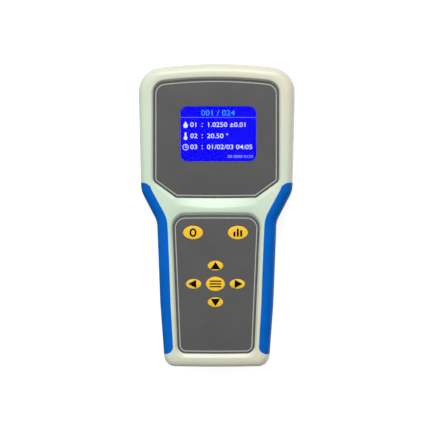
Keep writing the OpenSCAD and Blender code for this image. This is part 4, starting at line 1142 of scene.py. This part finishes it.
def display():
    hole = rounded_rect(WINDOW_CENTRE, WINDOW_SIZE + 2 * PANEL_GAP, WINDOW_R + PANEL_GAP)
    plate("display_plate", outline(display_corners(), PANEL_GAP), [hole], Z_PANEL_FLOOR, Z_PANEL, PLATE_ROLL,
          "display_panel")
    border_line("display_line", display_corners())
    window = rounded_rect(WINDOW_CENTRE, WINDOW_SIZE, WINDOW_R)
    patch("screen_image", [window], Z_PANEL_FLOOR, Z_SCREEN, "screen")
    patch("window_cover", [window], Z_COVER, Z_WINDOW, "window", replaces=["display_window"])
    cx, cy = WINDOW_CENTRE
    width = WINDOW_SIZE[0]
    icon_x, row_y = cx + ICON_X, [cy + up for up in ROW_UP]
    mark("screen_rule", [bar(cx, cy + RULE_UP, width, RULE_W)], "faint")
    text_piece("screen_title", "001 / 024", cx + TITLE_X, cy + TITLE_UP, TITLE_SIZE, "azure", "CENTER")
    mark("screen_drop", drop_icon(icon_x, row_y[0], DROP_R), "lit")
    mark("screen_thermometer", thermometer_icon(icon_x, row_y[1], BULB_R), "lit")
    mark("screen_clock", clock_icon(icon_x, row_y[2], CLOCK_R), "lit")
    rows = (("density", "1.0250 ±0.01", "01"), ("temperature", "20.50 °", "02"),
            ("time", "01/02/03 04:05", "03"))
    for (name, words, number), y in zip(rows, row_y):
        text_piece(f"screen_{name}", words, cx + VALUE_X, y, ROW_SIZE, "lit")
        text_piece(f"screen_{name}_number", number, cx + NUMBER_X, y, ROW_SIZE, "lit")
        dots = [bar(cx + COLON_X, y + up, COLON_W, COLON_W) for up in COLON_UP]
        mark(f"screen_{name}_colon", dots, "lit")
    text_piece("screen_count", "00 0000 0123", cx + width / 2 - COUNT_IN, cy + COUNT_UP, COUNT_SIZE, "faint",
               "RIGHT")


# CAD nodes that stay: welded, smooth by angle, with the record's slots as materials

NODE_WELD = 0.002
NODE_SHARP_DEG = 32


def smooth_group():
    """Welds the mesh and shades it smooth, apart from its sharp edges."""
    group = bpy.data.node_groups.new("smooth_by_angle", "GeometryNodeTree")
    for way in ("INPUT", "OUTPUT"):
        group.interface.new_socket("Geometry", in_out=way, socket_type="NodeSocketGeometry")
    tree = Tree(group)
    mesh = tree.add("NodeGroupInput").outputs["Geometry"]
    weld = tree.add("GeometryNodeMergeByDistance", {"Geometry": mesh, "Distance": NODE_WELD * MM})
    faces = tree.add("GeometryNodeSetShadeSmooth", {"Geometry": weld.outputs["Geometry"]})
    angle = tree.add("GeometryNodeInputMeshEdgeAngle").outputs["Unsigned Angle"]
    sharp = tree.add("FunctionNodeCompare", {"A": angle, "B": math.radians(NODE_SHARP_DEG)},
                     operation="GREATER_THAN")
    chosen = {"Selection": sharp.outputs["Result"], "Shade Smooth": False}
    edges = tree.add("GeometryNodeSetShadeSmooth", {"Geometry": faces.outputs["Geometry"], **chosen},
                     domain="EDGE")
    tree.add("NodeGroupOutput", {"Geometry": edges.outputs["Geometry"]})
    return group


def dress_nodes():
    group = smooth_group()
    slots = {part["node"]: part["material_slot"] for part in frame["record"]["subparts"]}
    for name, obj in NODES.items():
        if obj.hide_render:
            continue
        obj.data.materials.clear()
        obj.data.materials.append(MATERIALS[slots[name]])
        if obj.data.attributes.get("custom_normal"):
            obj.data.attributes.remove(obj.data.attributes["custom_normal"])
        smooth = obj.modifiers.new("smooth", "NODES")
        smooth.node_group = group


# Stage: floor, light and camera

FLOOR_GREY = 0.5
FLOOR_GLOW = 0.85
FLOOR_REACH = 6.0
FLOOR_GAP = 0.05
WORLD_LIGHT = 0.16


def seen_directly(tree):
    """1 for rays from the camera and those that metal or glass sends on, 0 for those that gather light."""
    rays = tree.add("ShaderNodeLightPath").outputs
    seen = tree.math("MAXIMUM", rays["Is Camera Ray"], rays["Is Glossy Ray"])
    return tree.math("MAXIMUM", seen, rays["Is Transmission Ray"])


def floor():
    """A pale floor that keeps the shadow, white where it is lit, and open when seen from below."""
    mesh = bpy.data.meshes.new("floor")
    r, z = FLOOR_REACH, cad_low.z - FLOOR_GAP * MM
    mesh.from_pydata([(-r, -r, z), (r, -r, z), (r, r, z), (-r, r, z)], [], [(0, 1, 2, 3)])
    obj = put("floor", mesh)
    material = bpy.data.materials.new("floor_pale")
    material.use_nodes = True
    tree = Tree(material.node_tree)
    tree.nodes.clear()
    coat = tree.add("ShaderNodeBsdfDiffuse", {"Color": (FLOOR_GREY, FLOOR_GREY, FLOOR_GREY, 1)})
    strength = tree.math("MULTIPLY", seen_directly(tree), FLOOR_GLOW)
    glow = tree.add("ShaderNodeEmission", {"Strength": strength})
    both = tree.add("ShaderNodeAddShader", {0: coat.outputs[0], 1: glow.outputs[0]})
    below = tree.add("ShaderNodeNewGeometry").outputs["Backfacing"]
    clear = tree.add("ShaderNodeBsdfTransparent")
    tree.add("ShaderNodeOutputMaterial", {"Surface": tree.either(below, both, clear)})
    mesh.materials.append(material)


def world():
    """White to the camera and in reflections, a softer grey as light."""
    scene = bpy.context.scene
    scene.world = bpy.data.worlds.new("studio")
    scene.world.use_nodes = True
    tree = Tree(scene.world.node_tree)
    tree.nodes.clear()
    seen = tree.add("ShaderNodeBackground", {"Color": (1, 1, 1, 1)})
    light = tree.add("ShaderNodeBackground", {"Color": (0.95, 1.0, 0.97, 1), "Strength": WORLD_LIGHT})
    tree.add("ShaderNodeOutputWorld", {"Surface": tree.either(seen_directly(tree), light, seen)})


def area_light(name, place, size, watts, colour):
    """A round lamp that faces the middle of the meter's front."""
    data = bpy.data.lights.new(name, "AREA")
    data.shape = "DISK"
    data.size = size
    data.energy = watts
    data.color = colour
    obj = put(name, data)
    obj.location = place
    obj.rotation_mode = "QUATERNION"
    obj.rotation_quaternion = (Vector((0, 0, Z_CREST * MM)) - Vector(place)).to_track_quat("-Z", "Y")


def lights():
    area_light("key_light", (0.0, 1.53, 1.87), 1.0, 49, (1.0, 1.0, 0.98))
    area_light("left_light", (-1.2, 0.1, 0.9), 0.8, 5.2, (0.88, 1.0, 0.92))
    area_light("right_light", (1.2, 0.1, 0.9), 0.8, 3.7, (1.0, 0.95, 0.86))


FRAME_PX = 430
FRAME_MM = 283.8
OBJECT_PX = (216.8, 215.25)
LEAN_DEG = 1.7
CAMERA_MM = 6000.0
SENSOR_MM = 36.0
CLIP_M = 20


def camera():
    """A long lens over the meter, a little to its right, with the photo's framing."""
    data = bpy.data.cameras.new("camera")
    data.sensor_width = SENSOR_MM
    data.lens = SENSOR_MM * CAMERA_MM / FRAME_MM
    obj = put("camera", data)
    per_px = FRAME_MM / FRAME_PX
    right, up = (FRAME_PX / 2 - OBJECT_PX[0]) * per_px, (OBJECT_PX[1] - FRAME_PX / 2) * per_px
    aim = Vector((right, up, Z_PART)) * MM
    lean = math.radians(LEAN_DEG)
    obj.location = aim + Vector((math.sin(lean), 0, math.cos(lean))) * CAMERA_MM * MM
    obj.rotation_euler = (0, lean, 0)
    data.clip_end = CLIP_M
    bpy.context.scene.camera = obj


camera()
front_shell()
grip("grip_right", "right_grip", 1)
grip("grip_left", "left_grip", -1)
display()
keypad()
dress_nodes()
floor()
world()
lights()
bpy.context.scene.view_settings.view_transform = "Standard"
